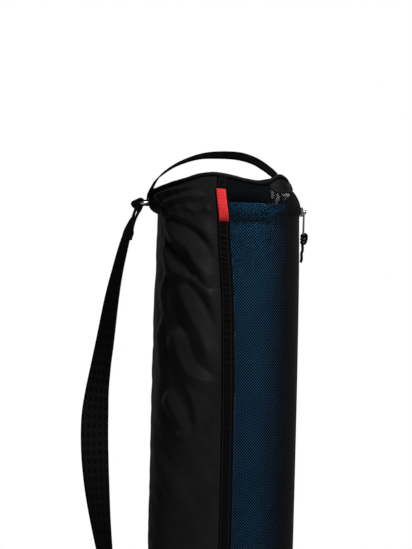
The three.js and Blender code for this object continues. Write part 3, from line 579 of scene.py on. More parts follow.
# Folds of the coated cloth: rise in mm, widths of the side above and the side below, then the crest's
# (angle, height)
foldRows = [
    (4.8, 24, 8, [(198, 650), (204.3, 648.2), (225, 645.4), (239.5, 639), (251.7, 626.8), (259.8, 614),
                  (263.4, 600), (265, 586)]),
    (7.0, 22, 12, [(208, 645), (212, 638.8), (219, 629), (227.5, 619.3), (238.8, 608.6), (244.7, 594),
                   (249.2, 586.5),
                   (252.9, 576), (258, 568.6), (268, 561)]),
    (4.8, 13, 14, [(210, 618), (212.9, 610), (216.3, 599), (221.1, 588.5), (228, 582), (239.4, 577),
                   (249, 571)]),
    (5.2, 15, 10, [(235, 582), (240.4, 576), (246.3, 572.1), (255, 560.9), (260.8, 548.8), (263.6, 539.9),
                   (268, 528), (270, 516)]),
    (7.0, 19, 18, [(228.5, 582), (230.4, 571.6), (234.5, 559), (241.4, 541), (246.5, 527.4), (250.5, 518),
                   (253.5, 508),
                   (256.6, 494.6), (261.6, 483), (268, 470)]),
    (6.2, 17, 18, [(229.5, 526), (229.8, 517), (229.8, 506), (233.3, 490.5), (242.8, 471), (254.6, 464),
                   (270, 464)]),
    (4.8, 12, 14, [(217, 452), (220.6, 446), (224.5, 438), (232, 422.5), (237, 410), (241, 396)]),
    (3.4, 14, 8, [(233, 468), (238.5, 461), (246.4, 441), (248.5, 422), (249, 408)]),
    (6.2, 15, 9, [(188, 666), (200, 672), (217, 676.4), (231.4, 679.8), (246, 679.3)]),
    (4.6, 9, 7, [(203, 654), (211, 660), (227, 664), (238.3, 667.4), (254, 667.3)]),
    (2.8, 16, 20, [(196, 392), (214, 366), (233, 338), (250, 300)]),
    (2.2, 18, 20, [(204, 246), (224, 214), (248, 164)]),
    (2.0, 18, 16, [(66, 628), (90, 612), (122, 602), (152, 612)]),
    (1.7, 18, 20, [(82, 520), (112, 492), (142, 452)])]

# smaller creases, laid on top of the folds
creaseRows = [
    (1.2, 20, 7, [(203.5, 652), (205.2, 646.9), (209.8, 616.5), (214.8, 583), (207, 562), (207.6, 548),
                  (213.8, 537), (212.3, 530.5), (203.6, 514), (203.1, 498), (211.1, 471.5), (222, 451.7),
                  (228, 440)]),
    (1.2, 4, 4, [(234, 655), (236.4, 654.4), (243.2, 651.3), (246, 650)]),
    (2.2, 6, 5, [(249, 656.5), (252.3, 654.7), (257, 649.6), (261.2, 643.5), (263, 640)])]


def ridge(x, height, rise, above, below, line):
    # a bent ridge: its rise falls in a straight slope to each side, with the crest and the feet rounded
    crest = np.array(line, float) * [degree * bag["radius"], 1]
    crest = curvePoints(crest, np.linspace(0, len(line) - 1, 5 * (len(line) - 1) + 1))
    nearest = np.full(x.shape, 1e9)
    way, side = np.zeros_like(x), np.zeros_like(x)
    for k in range(len(crest) - 1):
        step = crest[k + 1] - crest[k]
        t = np.clip(((x - crest[k, 0]) * step[0] + (height - crest[k, 1]) * step[1]) / (step @ step), 0, 1)
        dx, dy = x - crest[k, 0] - t * step[0], height - crest[k, 1] - t * step[1]
        away = np.hypot(dx, dy)
        closer = away < nearest
        way = np.where(closer, (k + t) / (len(crest) - 1), way)
        side = np.where(closer, step[0] * dy - step[1] * dx, side)
        nearest = np.where(closer, away, nearest)
    ends = smooth(way / 0.25) * smooth((1 - way) / 0.25)
    reach = np.where(side > 0, above, below) * (0.4 + 0.6 * ends)
    share = 1 - (np.sqrt(nearest**2 + 0.25) - 0.5) / reach
    return rise * ends * (share + np.sqrt(share**2 + 0.004)) / 2


def foldLift(angle, height):
    # the cloth lies on the highest of the folds, so they meet in sharp valleys
    x = angle * degree * bag["radius"]
    lift = np.zeros_like(x)
    for row in foldRows:
        lift = np.maximum(lift, ridge(x, height, *row))
    for row in creaseRows:
        lift = lift + ridge(x, height, *row)
    return lift


def gatherPhase(height):
    # the gathers' rhythm up the seam: a wave whose place drifts with a soft noise
    return 2 * math.pi * (height / bag["gatherPitch"] + 0.75 * softNoise(height / 15, 0.5, 3))


def gatherFade(height):
    # 1 below the top of the mat, falling to 0 towards it
    return smooth((bag["matTop"] - bag["gatherSink"] - height) / 12)


clothGrid = {"backColumns": 18, "frontColumns": 74, "seamColumns": 14, "rows": 430, "frontFrom": 0.5,
             "seamFrom": 0.91}
# wrinkles: rise, lean across and up, length across and up in mm, seed, and whether they are folded to creases
rippleRows = [(0.4, 0.7, 0.5, 19, 38, 11, False), (0.14, 0.9, 0.6, 9, 21, 12, False),
              (0.9, 0.75, 0.5, 17, 44, 13, True), (0.35, 0.5, 0.6, 8, 26, 14, True)]


def addCoatedPanel():
    # the lift off the wall is the folds, a sum of soft noises and the gathers beside the front seam
    to = lambda level: seamAngle(level) + 360
    front, seam = clothGrid["frontFrom"], clothGrid["seamFrom"]
    shares = np.concatenate([np.linspace(0, front, clothGrid["backColumns"], endpoint=False),
                             np.linspace(front, seam, clothGrid["frontColumns"], endpoint=False),
                             np.linspace(seam, 1, clothGrid["seamColumns"] + 1)])
    way = np.linspace(bag["foot"], wallTop, clothGrid["rows"])
    level = levelOf(way)[:, None] * np.ones_like(shares)
    angle = mix(bag["backSeam"], to(level), shares)
    height = profile(angle, level)[1]
    fromSeam = (to(level) - angle) * degree * bag["radius"]
    fromBack = (angle - bag["backSeam"]) * degree * bag["radius"]
    edge = np.minimum(fromSeam, fromBack)
    folds = foldLift(angle, height) * smooth((edge - bag["tapeWidth"]) / 14)
    slant = (angle - 230) * degree * bag["radius"]
    ripple = np.zeros_like(height)
    for rise, leanAcross, leanUp, across, up, seed, folded in rippleRows:
        noise = softNoise((slant + leanAcross * height) / across, (height - leanUp * slant) / up, seed)
        ripple += rise * (0.4 - np.abs(noise) if folded else noise)
    beside = np.clip(fromSeam - bag["tapeWidth"], 0, None)
    phase = gatherPhase(height) + 0.05 * beside
    gather = bag["pucker"] * np.cos(phase) * np.exp(-beside / 5) * gatherFade(height)
    gather *= smooth(fromSeam / bag["tapeWidth"] - 0.6) * (0.75 + 0.4 * softNoise(height / 9, 2.5, 5))
    lift = (folds + ripple * smooth(edge / 20) + gather) * smooth((2 - level) / 0.25) * smooth(level / 0.04)
    outer, inner = wallPoints(angle, level, lift), wallPoints(angle, level, lift - bag["clothWall"])
    uv = clothUv(angle * degree * bag["radius"], way[:, None])
    mesh = wallMesh("coated_panel", outer, inner, uv, lining=True)
    addPiece("coated_panel", mesh, looks["coated"], ["side_panel"])
    # the inner face takes the pale lining colour, painted light for the bag's inside
    mesh.materials.append(looks["inside"])


print("stage: coated cloth")
addCamera()
addStudio()
addCoatedPanel()


# The net: a slanted lattice of round holes, cut through

net = {"cellWidth": 3.15, "cellHeight": 3.44, "holeAcross": 0.75, "holeUp": 0.82, "jitter": 0.05,
       "relief": 1.17, "slackRelief": 0.3, "wave": 0.35, "hem": 2.2, "guard": 13.5, "hemWall": 0.5,
       "hemLift": 0.25, "hemRound": 0.2, "endSpare": 1.2, "sideShare": 0.7}


def netPanel(name, node, fromAngle, toAngle):
    # diamond cells on a slanted grid, each with an eight-sided hole sunk below its corners
    low, high = bag["foot"] + net["hem"], wallTop - net["hem"]
    first = min(float(fromAngle(0.0)), float(fromAngle(2.0))) - 4
    across = (float(toAngle(0.0)) - first) * degree * bag["radius"]
    half = np.array([net["cellWidth"] / 2, net["cellHeight"] / 2])
    i, j = np.meshgrid(np.arange(int(across / half[0]) + 2), np.arange(int(high / half[1]) + 2),
                       indexing="ij")
    keep = (i + j) % 2 == 0
    i, j = i[keep], j[keep]
    way = j * half[1]
    level = levelOf(way)
    angle = first + arc(i * half[0])
    spare = arc(net["hem"] * net["sideShare"])
    inside = (way > low + net["endSpare"]) & (way < high - net["endSpare"])
    inside &= (angle > fromAngle(level) + spare) & (angle < toAngle(level) - spare)
    i, j = i[inside], j[inside]
    cells = len(i)
    corner = np.stack([np.stack([i + x, j + y], -1) for x, y in ((1, 0), (0, 1), (-1, 0), (0, -1))], 1)
    spots, index = np.unique(corner.reshape(-1, 2), axis=0, return_inverse=True)
    index = index.reshape(cells, 4)
    turn = np.arange(8) * math.pi / 4
    jitter = rng.normal(0, net["jitter"], (cells, 2))
    holeA = i[:, None] * half[0] + jitter[:, :1] + net["holeAcross"] * np.cos(turn)
    holeH = j[:, None] * half[1] + jitter[:, 1:] + net["holeUp"] * np.sin(turn)
    a = np.concatenate([spots[:, 0] * half[0], holeA.ravel()])
    h = np.concatenate([spots[:, 1] * half[1], holeH.ravel()])
    slack = smooth((profile(first + arc(holeA.ravel()), levelOf(holeH.ravel()))[1] - bag["matTop"] - 4) / 10)
    lift = np.concatenate([np.zeros(len(spots)), -mix(net["relief"], net["slackRelief"], slack)])
    lift += net["wave"] * softNoise(a / 23, h / 31, 21)
    points = wallPoints(first + arc(a), levelOf(h), lift)
    hole = len(spots) + np.arange(cells)[:, None] * 8 + np.arange(8)
    faces = []
    for k in range(4):
        here, after = index[:, k], index[:, (k + 1) % 4]
        faces.append(np.stack([here, hole[:, 2 * k + 1], hole[:, 2 * k]], -1))
        faces.append(np.stack([here, hole[:, 2 * k], hole[:, (2 * k - 1) % 8]], -1))
        faces.append(np.stack([here, after, hole[:, 2 * k + 1]], -1))
    print("net", name, cells, "holes")
    addPiece(name, makeMesh(name, points, np.concatenate(faces), clothUv(a, h)), looks["net"], [node])


def hemStrip(name, place, width, rows):
    # a flat turned edge along one side of a net panel; place gives its angle at a level
    way = np.linspace(bag["foot"], wallTop, rows)
    level = levelOf(way)[:, None]
    shares = np.linspace(0, 1, 4)
    angle = place(level) + arc(width) * shares
    outer = wallPoints(angle, level, net["hemLift"] + net["hemRound"] * np.sin(math.pi * shares))
    inner = wallPoints(angle, level, net["hemLift"] - net["hemWall"])
    addPiece(name, wallMesh(name, outer, inner, clothUv(width * shares, way[:, None])), looks["tape"])


zipLook = {"angle": 5.0, "tapeWidth": 10.0, "coilWidth": 5.0, "coilProud": 1.0, "coilSunk": 0.8,
           "pitch": 1.45}
zipInner = arc(zipLook["coilWidth"] / 2 + bag["gap"])
zipOuter = arc(zipLook["coilWidth"] / 2 + bag["gap"] + zipLook["tapeWidth"])


def addNets():
    gap = arc(bag["gap"])
    seamStart = lambda level: seamAngle(level) + gap
    frontEnd = lambda level: zipLook["angle"] - zipOuter - gap + 0 * np.asarray(level)
    backStart = lambda level: zipLook["angle"] + zipOuter + gap + 0 * np.asarray(level)
    backEnd = lambda level: bag["backSeam"] - gap + 0 * np.asarray(level)
    netPanel("net_front", "mesh_front", seamStart, frontEnd)
    netPanel("net_back", "mesh_back", backStart, backEnd)
    hem, guard = net["hem"], net["guard"]
    hemStrip("net_hem_seam", seamAngle, hem, 240)
    hemStrip("net_hem_zip_front", lambda level: frontEnd(level) - arc(hem), hem, 160)
    hemStrip("net_hem_zip_back", backStart, guard, 160)
    hemStrip("net_hem_back", lambda level: backEnd(level) - arc(hem), hem, 160)


print("stage: nets")
addNets()


# Seam tapes, the label and their stitches

def tapeStrip(name, node, place, width, wall, rows, columns, lift, crest):
    # a strip on the wall: crest gives the lift above its seat at (share across, height)
    way = np.linspace(bag["foot"], wallTop, rows)
    level = levelOf(way)[:, None]
    shares = np.linspace(0, 1, columns)
    angle = place(level) + arc(width) * shares
    height = profile(angle, level)[1]
    top = lift + crest(shares[None, :], height)
    edge = 0.35 * wall * (1 - smooth(np.minimum(shares, 1 - shares) * width / 0.8))
    outer, inner = wallPoints(angle, level, top - edge), wallPoints(angle, level, top - wall)
    addPiece(name, wallMesh(name, outer, inner, clothUv(width * shares, way[:, None])), looks["tape"], [node])


def gatherCrest(share, height):
    # crests across the strip at the seam's rhythm, leaning a little and uneven in height
    phase = gatherPhase(height) + 1.2 * share
    fuller = mix(0.45, 1, smooth((height - 470) / 90))
    uneven = np.clip(0.55 + 0.85 * softNoise(height / 6, share * 1.5, 6), 0, 1.4) * fuller
    across = smooth((1.02 - share) / 0.35) * (0.6 + 0.4 * smooth(share / 0.25))
    return bag["gatherRise"] * (0.5 - 0.5 * np.cos(phase)) ** 1.5 * uneven * across * gatherFade(height)


tapeLift = bag["gap"] + bag["tapeWall"] + bag["tapeWidth"] ** 2 / (8 * bag["radius"])


def addSeamTapes():
    width, wall = bag["tapeWidth"], bag["tapeWall"]
    tapeStrip("front_tape", "front_seam_tape", lambda level: seamAngle(level) - arc(width), width, wall, 560,
              10, tapeLift,
              gatherCrest)
    tapeStrip("back_tape", "back_seam_tape", lambda level: bag["backSeam"] - arc(bag["gap"]) + 0 * level,
              width, wall, 160, 8,
              tapeLift, lambda share, height: 0.15 * softNoise(height / 9, share, 8))
    for name, node, start in (("zip_tape_front_cloth", "zip_tape_front", zipLook["angle"] - zipOuter),
                              ("zip_tape_back_cloth", "zip_tape_back", zipLook["angle"] + zipInner)):
        tapeStrip(name, node, lambda level, start=start: start + 0 * level, zipLook["tapeWidth"],
                  bag["netWall"], 200, 8, 0.0,
                  lambda share, height: 0.12 * softNoise(height / 12, share, 9))


# stitches: pitch, length and thickness in mm
stitches = {"tape": (3.3, 2.5, 0.5), "zip": (3.3, 2.5, 0.45), "rim": (3.2, 2.4, 0.45),
            "patch": (2.9, 2.2, 0.45), "label": (2.1, 1.6, 0.35)}


def stitchRow(name, path, normal, kind):
    # short rounded stitches end to end along a path of points, lying in its surface
    pitch, length, thick = stitches[kind]
    way = wayAlong(path)
    count = max(int(way[-1] / pitch), 1)
    ends = (np.arange(count)[:, None] + 0.5) * pitch + np.array([-0.5, -0.3, 0.3, 0.5]) * length
    centre, out = readPath(ends, way, path), unit(readPath(ends, way, normal))
    along = unit(centre[:, -1] - centre[:, 0])[:, None]
    side = np.cross(along, out)
    size = np.array([0.15, 1.0, 1.0, 0.15])[None, :, None, None] * thick / 2
    rise = np.array([-0.4, 0.5, 0.5, -0.4])[None, :, None, None] * thick / 2
    turn = (np.arange(5) * 2 * math.pi / 5)[None, None, :, None]
    across = side[:, :, None] * size * np.cos(turn)
    rings = centre[:, :, None] + out[:, :, None] * (rise + size * np.sin(turn)) + across
    mesh = makeMesh(name, rings.reshape(-1, 3), chainFaces(count, 4, 5, True))
    addPiece(name, mesh, looks["redThread" if kind == "label" else "thread"])


def stitchWall(name, angle, level, lift, kind):
    # stitches along a path on the wall, lifted off it
    path = wallPoints(angle, level, lift)
    stitchRow(name, path, wallPoints(angle, level, lift + 1) - path, kind)


def addTapeStitches():
    way = np.linspace(bag["foot"] + 4, wallTop - 3, 900)
    level, width, inset = levelOf(way), bag["tapeWidth"], arc(bag["stitchInset"])
    for name, share in (("front_tape_stitch_left", 0.12), ("front_tape_stitch_right", 0.88)):
        angle = seamAngle(level) - arc(width * (1 - share))
        crest = gatherCrest(np.full(way.shape, share), profile(angle, level)[1])
        stitchWall(name, angle, level, tapeLift + crest + 0.05, "tape")
    for name, share in (("back_tape_stitch_left", 0.14), ("back_tape_stitch_right", 0.86)):
        stitchWall(name, bag["backSeam"] - arc(bag["gap"]) + arc(width * share), level, tapeLift + 0.1,
                   "tape")
    for name, away in (("zip_stitch_front", inset - zipOuter), ("zip_stitch_back", zipOuter - inset)):
        stitchWall(name, zipLook["angle"] + away, level, 0.12, "zip")


label = {"width": 10.4, "length": 34.0, "wall": 0.7, "rise": 12.6, "skew": 2.4, "inset": 1.1}


def levelAtHeight(angle, height):
    levels = np.linspace(0, 2, 2001)
    return np.interp(height, profile(angle, levels)[1], levels)


def addLabel():
    # a cloth rectangle hung on the tape, skewed a little: across and up are counted in mm from its lower
    # left corner
    width, length = label["width"], label["length"]
    top, foot = (levelAtHeight(bag["frontSeam"], bag["matTop"] + label["rise"] - drop)
                 for drop in (0, length))
    levelAt = lambda up: mix(foot, top, up / length)
    angleAt = lambda across, up: (seamAngle(levelAt(up)) - arc(bag["tapeWidth"])
                                  + arc((bag["tapeWidth"] - width) / 2 + across)
                                  + arc(label["skew"]) * (0.5 - up / length))
    across, up = np.linspace(0, 1, 17) * width, np.linspace(0, 1, 49)[:, None] * length
    angle, level = angleAt(across, up), levelAt(up)
    seat = tapeLift + bag["gap"] + label["wall"]
    edge = np.minimum(np.minimum(across, width - across), np.minimum(up, length - up))
    wave = 0.25 * softNoise(across / width * 2.5, up / length * 5, 31)
    lift = seat + wave - 0.3 * (1 - smooth(edge / 0.7)) + 0.12 * (edge > 1.6)
    outer, inner = wallPoints(angle, level, lift), wallPoints(angle, level, seat - label["wall"])
    addPiece("woven_label", wallMesh("woven_label", outer, inner, clothUv(across, up)), looks["label"],
             ["label_tab"])
    run, inset = np.linspace(0, 1, 60), label["inset"]
    sides = [(inset, length * run), (width - inset, length * run), (width * run, inset),
             (width * run, length - inset)]
    for k, (x, y) in enumerate(sides):
        stitchWall("label_stitch_%d" % k, angleAt(x, y), levelAt(y), seat + 0.05, "label")


print("stage: tapes and label")
addSeamTapes()
addTapeStitches()
addLabel()


# The top end, the rim and the base

cap = {"sag": 4.0, "inset": 1.6, "tuck": 3.0, "middle": 0.88, "bindingWidth": 3.3, "bindingHeight": 4.2,
       "bindingSeat": 1.6, "bindingSpan": 18.0, "piping": 2.0}


def addTopCap():
    # height falls from the rim to a low middle with the square of the distance; creases run in from the rim
    shares = np.concatenate([[0.004], np.linspace(0.03, 1, 90)])[:, None]
    angle = np.linspace(0, 360, 240, endpoint=False)
    radius = (rimRadius(angle) - cap["inset"]) * shares
    middle = crownFoot + bag["crownHeight"] * cap["middle"] - bag["rimBelow"]
    height = mix(middle, rimHeight(angle), shares**2) - cap["sag"] * (1 - shares**2) + cap["tuck"] * shares**8
    x, y = radius * np.cos(angle * degree), radius * np.sin(angle * degree)
    swirl = softNoise(x / 30, y / 30, 41)
    dent = softNoise((x + 0.6 * y) / 14, (y - 0.6 * x) / 34, 42)
    crease = 0.9 * np.sin(angle * degree * 9 + 3 * swirl) * shares**3 * (1 - shares) * 4
    crease += 1.1 * dent * (1 - shares**4) * smooth(shares / 0.3)
    top = np.stack([x, y, height + crease], axis=-1)
    below = np.stack([x, y, height + crease - bag["clothWall"]], axis=-1)
    rings = np.concatenate([top, below[::-1]])
    uv = rings[..., :2] * mm
    addPiece("sagging_cap", ringsMesh("sagging_cap", rings[:, ::-1], False, uv[:, ::-1]), looks["coated"],
             ["top_cap"])


def addRimBinding():
    # a folded tape over the edge: a rounded arch in section, with small uneven pinches along it
    angle = np.linspace(0, 360, 420, endpoint=False)[:, None]
    turn = np.linspace(0, math.pi, 9)
    out = np.concatenate([0.5 * np.cos(turn), [-0.3, 0.3]])
    up = np.concatenate([0.25 + 0.75 * np.sin(turn) ** 0.8, [0, 0]])
    pinch = 1 + 0.1 * softNoise(angle / 4, 0.5, 51)
    radius = rimRadius(angle) - bag["clothWall"] / 2 + out * cap["bindingWidth"] * pinch
    swell = 1 + 0.06 * softNoise(angle / 3, 3.5, 52)
    height = rimHeight(angle) + cap["bindingSeat"] + up * cap["bindingHeight"] * swell
    uv = clothUv(np.linspace(0, cap["bindingSpan"], len(out)), angle * degree * bag["radius"])
    addPiece("rim_tape", ringsMesh("rim_tape", polar(radius, angle, height), True, uv), looks["binding"],
             ["rim_binding"])
    turns = np.linspace(0, 360, 1200)
    for name, side in (("rim_stitch_out", 1), ("rim_stitch_in", -1)):
        radius = rimRadius(turns) - bag["clothWall"] / 2 + side * (cap["bindingWidth"] / 2 + 0.05)
        path = polar(radius, turns, rimHeight(turns) + cap["bindingSeat"] + 1.5)
        stitchRow(name, path, polar(side, turns, 0), "rim")


def addBase():
    # a round cord at the edge and a disc whose underside lifts by a soft noise
    piping = nodeBox["base_piping"]
    ringRadius = piping[1][0] - cap["piping"]
    angle = np.linspace(0, 360, 240, endpoint=False)[:, None]
    turn = np.linspace(0, 2 * math.pi, 14, endpoint=False)
    radius = ringRadius + cap["piping"] * np.cos(turn) * (1 + 0.05 * softNoise(angle / 3, turn, 61))
    height = piping[0][2] + cap["piping"] * (0.88 + np.sin(turn)) + 0 * angle
    rings, uv = polar(radius, angle, height), clothUv(turn * cap["piping"], angle * degree * ringRadius)
    addPiece("base_cord", ringsMesh("base_cord", rings[:, ::-1], True, uv[:, ::-1]), looks["tape"],
             ["base_piping"])
    disc = nodeBox["base_panel"]
    shares = np.concatenate([[0.004], np.linspace(0.04, 1, 60)])[:, None]
    around = np.linspace(0, 360, 180, endpoint=False)
    x, y = disc[1][0] * shares * np.cos(around * degree), disc[1][0] * shares * np.sin(around * degree)
    under = disc[0][2] + 0.25 * (0.5 + 0.5 * softNoise(x / 16, y / 16, 62)) * smooth((1 - shares) / 0.2)
    bottom = np.stack([x, y, under], axis=-1)
    above = np.stack([x, y, np.full(x.shape, disc[1][2])], axis=-1)
    rings = np.concatenate([bottom, above[::-1]])
    addPiece("base_cloth", ringsMesh("base_cloth", rings, False, rings[..., :2] * mm), looks["coated"],
             ["base_panel"])


print("stage: ends")
addTopCap()
addRimBinding()
addBase()


# The rolled mat: one soft sheet wound in a spiral, its edges rounded

roll = {"radius": 74.0, "sheet": 6.0, "core": 35.0, "gap": 0.3, "soft": 1.3}


def addMat():
    # the radius grows by one sheet and its gap with each turn
    low, high = nodeBox["rolled_mat"][0][2], nodeBox["rolled_mat"][1][2]
    pitch = roll["sheet"] + roll["gap"]
    turns = (roll["radius"] - roll["sheet"] - roll["core"]) / pitch
    count = int(turns * 72)
    turn = np.linspace(0, turns, count)[:, None]
    soft, cut, sheet = roll["soft"], 0.3 * roll["soft"], roll["sheet"]
    section = np.array([(0, low + soft), (0, high - soft), (cut, high - cut), (soft, high),
                        (sheet - soft, high), (sheet - cut, high - cut), (sheet, high - soft),
                        (sheet, low + soft), (sheet - soft, low), (soft, low)])
    radius = roll["core"] + pitch * turn + section[:, 0] + 0.12 * softNoise(turn * 9, 0.5, 71)
    rings = polar(radius, 360 * turn, section[:, 1])
    addPiece("foam_roll", ringsMesh("foam_roll", rings[:, ::-1]), looks["foam"], ["rolled_mat"])


print("stage: mat")
addMat()


# The zip and its knotted grip

def bandMesh(name, path, side, width, wall):
    # a flat band with rounded edges carried along a path; side points across it
    along = alongPath(path)
    side = squareTo(along, side)
    face = np.cross(along, side)
    turn = np.linspace(-math.pi / 2, math.pi / 2, 5)
    edge = wall / 2
    across = np.concatenate([width / 2 - edge + edge * np.cos(turn),
                             np.linspace(width / 2 - edge, edge - width / 2, 9)[1:-1],
                             edge - width / 2 - edge * np.cos(turn),
                             np.linspace(edge - width / 2, width / 2 - edge, 9)[1:-1]])
    up = np.concatenate([edge * np.sin(turn), np.full(7, edge), -edge * np.sin(turn), np.full(7, -edge)])
    rings = path[:, None] + side[:, None] * across[None, :, None] + face[:, None] * up[None, :, None]
    return ringsMesh(name, rings, False, clothUv(across, wayAlong(path)[:, None]))


def addCoil():
    # rounded teeth laid across the slot, left and right in turn
    way = np.arange(bag["foot"] + 1, wallTop - 1, zipLook["pitch"] / 2)
    left = (np.arange(len(way)) % 2) * 2 - 1
    level = levelOf(way)
    radius, height = profile(zipLook["angle"], level)
    seat = radius + (zipLook["coilProud"] - zipLook["coilSunk"]) / 2
    along = np.linspace(-1, 1, 6)
    turn = np.arange(6) * math.pi / 3
    reach = zipLook["coilWidth"] / 2
    swell = np.sqrt(np.clip(1 - (along * 0.92) ** 4, 0, 1))[None, :, None]
    y = (along * reach * 0.62)[None, :, None] + left[:, None, None] * reach * 0.36 + 0 * turn
    x = seat[:, None, None] + (zipLook["coilProud"] + zipLook["coilSunk"]) / 2 * swell * np.cos(turn)
    z = height[:, None, None] + zipLook["pitch"] * 0.42 * swell * np.sin(turn)
    rings = turned(np.stack(np.broadcast_arrays(x, y, z), axis=-1), zipLook["angle"])
    mesh = makeMesh("coil_teeth", rings.reshape(-1, 3), chainFaces(len(way), 6, 6))
    addPiece("coil_teeth", mesh, looks["coil"], ["zip_coil"])


def softenedCopy(node, name, width, material, body):
    # the solid's own shape with its doubles merged and its edges rounded
    mesh = frame["nodes"][node].data.copy()
    mesh.name = name
    mesh.materials.clear()
    piece = addPiece(name, mesh, material, [node], body)
    weld = piece.modifiers.new("weld", "WELD")
    weld.merge_threshold = 0.00001
    bevel = piece.modifiers.new("edges", "BEVEL")
    bevel.width, bevel.segments, bevel.limit_method, bevel.angle_limit = width * mm, 3, "ANGLE", 0.6


grip = {"knotDrop": 31.0, "knotRise": 4.0, "cord": 3.3, "wrapAcross": 2.9, "wrapOut": 2.0, "wraps": 3,
        "rise": 5.4, "drop": 10.4, "tail": 22.0}


def cordMesh(name, path, width, wall):
    # a cord's section kept from twisting as it is carried along its path
    along = alongPath(path)
    side = [unit(np.cross(along[0], [0.2, 0.4, 1.0]))]
    for direction in along[1:]:
        side.append(unit(side[-1] - direction * (side[-1] @ direction)))
    return bandMesh(name, path, np.array(side), width, wall)


def addGrip():
    # round wraps about the pull's end, a strand across them, and the tail below: out, across and down from
    # the hinge
    hinge = np.array(frame["record"]["behaviour"]["joints"][0]["pos_m"]) / mm
    out = math.hypot(hinge[0], hinge[1])
    level = levelAtHeight(zipLook["angle"], hinge[2] - grip["knotDrop"])
    seat = float(profile(zipLook["angle"], level)[0]) + zipLook["coilProud"] + 2 * bag["gap"] + grip["knotRise"]
    lean = math.asin((seat - out) / grip["knotDrop"])
    turn = np.linspace(0, grip["wraps"] * 2 * math.pi, 90)
    share = turn / turn[-1]
    wraps = np.stack([grip["wrapOut"] * np.cos(turn), grip["wrapAcross"] * np.sin(turn),
                      -grip["knotDrop"] + grip["rise"] - grip["drop"] * share + 0.9 * np.sin(turn + 0.6)],
                      axis=-1)
    foot = wraps[-1, 2]
    strand = np.array([(2.6, 1.6, foot + 0.6), (3.6, 2.0, foot + 3.4), (3.7, -0.4, foot + 7.4),
                       (2.9, -2.4, foot + 9.4), (0.2, -2.6, foot + 8.0), (-1.2, -1.4, foot + 2.0),
                       (-0.6, 0.2, foot - 2.6), (-0.4, 0.2, foot - 8.0),
                       (-1.4, 0.5, foot - 0.55 * grip["tail"]), (-1.2, 0.3, foot - 0.8 * grip["tail"]),
                       (-2.0, 0.5, foot - grip["tail"])])
    rest = curvePoints(np.concatenate([wraps[-1:], strand]), np.linspace(0, len(strand), 110)[1:])
    path = np.concatenate([wraps, rest])
    c, s = math.cos(lean), math.sin(lean)
    path = np.stack([out + path[:, 0] * c - path[:, 2] * s, path[:, 1],
                     hinge[2] + path[:, 0] * s + path[:, 2] * c], axis=-1)
    mesh = cordMesh("knotted_grip", turned(path, zipLook["angle"]), grip["cord"], grip["cord"] * 0.92)
    addPiece("knotted_grip", mesh, looks["webbing"], ["zip_pull_tab"], "zip_puller")


print("stage: zip")
addCoil()
softenedCopy("zip_slider", "slider_body", 0.35, looks["metal"], "bag")
softenedCopy("zip_pull", "pull_plate", 0.4, looks["metal"], "zip_puller")
addGrip()


# Webbing: the handle, the shoulder strap, the ring and its tab

strap = {"width": 32.0, "wall": 2.0, "bow": 64.0, "foldBack": 44.0, "loopRadius": 3.7, "anchorHeight": 62.0,
         "anchorLength": 34.0, "handleWidth": 22.0, "handleWall": 1.6, "handleRise": 18.0, "wire": 3.4,
         "ringSpan": 8.4, "ringTilt": 8.0, "ringUp": 0.25, "tabWidth": 28.0, "tabWall": 1.4,
         "patchFrom": -46.0, "patchTo": -29.0, "patchDrop": 15.0, "patchWall": 1.2, "endTurn": 7.0,
         "endInset": 8.0, "lobeSpare": 5.0, "leftYaw": 5.0, "ringYaw": 15.0, "tabSink": 2.2,
         "anchorHalf": 21.0}

# the handle: share of the way across, height share, turn of the webbing
archRows = [
    (0, 0.17, 0), (0, 0.26, 0), (0.0136, 0.346, 3), (0.065, 0.566, 8), (0.129, 0.703, 12),
    (0.228, 0.841, 15), (0.396, 0.968, 20), (0.543, 0.993, 24), (0.69, 0.975, 24), (0.783, 0.92, 20),
    (0.8375, 0.866, 16), (0.885, 0.8, 12), (0.9205, 0.746, 8), (0.952, 0.69, 4), (0.976, 0.652, 1),
    (1, 0.638, 0)]
# the strap: share of the way down, distance from the bag, turn from edge-on, sway to the front
dropRows = [
    (0, 0.29, 15, 0), (0.01, 0.33, 9, 0.004), (0.02, 0.365, 5, 0.006), (0.03, 0.4, 7, 0.01),
    (0.05, 0.47, 15, 0.013), (0.085, 0.56, 21, 0.02), (0.13, 0.667, 25, 0.04), (0.176, 0.746, 31, 0.06),
    (0.267, 0.86, 42, 0.1), (0.3125, 0.92, 48, 0.12), (0.36, 0.972, 59, 0.14), (0.407, 0.997, 76, 0.15),
    (0.46, 0.99, 80, 0.15), (0.52, 0.95, 70, 0.14), (0.6, 0.86, 50, 0.12), (0.7, 0.7, 30, 0.08),
    (0.8, 0.48, 16, 0.05), (0.88, 0.27, 7, 0.02), (0.94, 0.11, 2, 0), (1, 0.02, 0, 0)]
# the folded end's two layers: share of its length, half their distance as a share of the loop's radius
spreadRows = [(0, 1), (0.06, 0.8), (0.14, 0.6), (0.33, 0.5), (0.42, 0.32), (0.68, 0.32), (0.8, 0.46),
              (0.92, 0.32), (1, 0.32)]


earOut = float(np.max(profile(180.0, np.linspace(1, 2, 41))[0]))
leftFace = earOut + bag["gap"] + strap["handleWall"] / 2


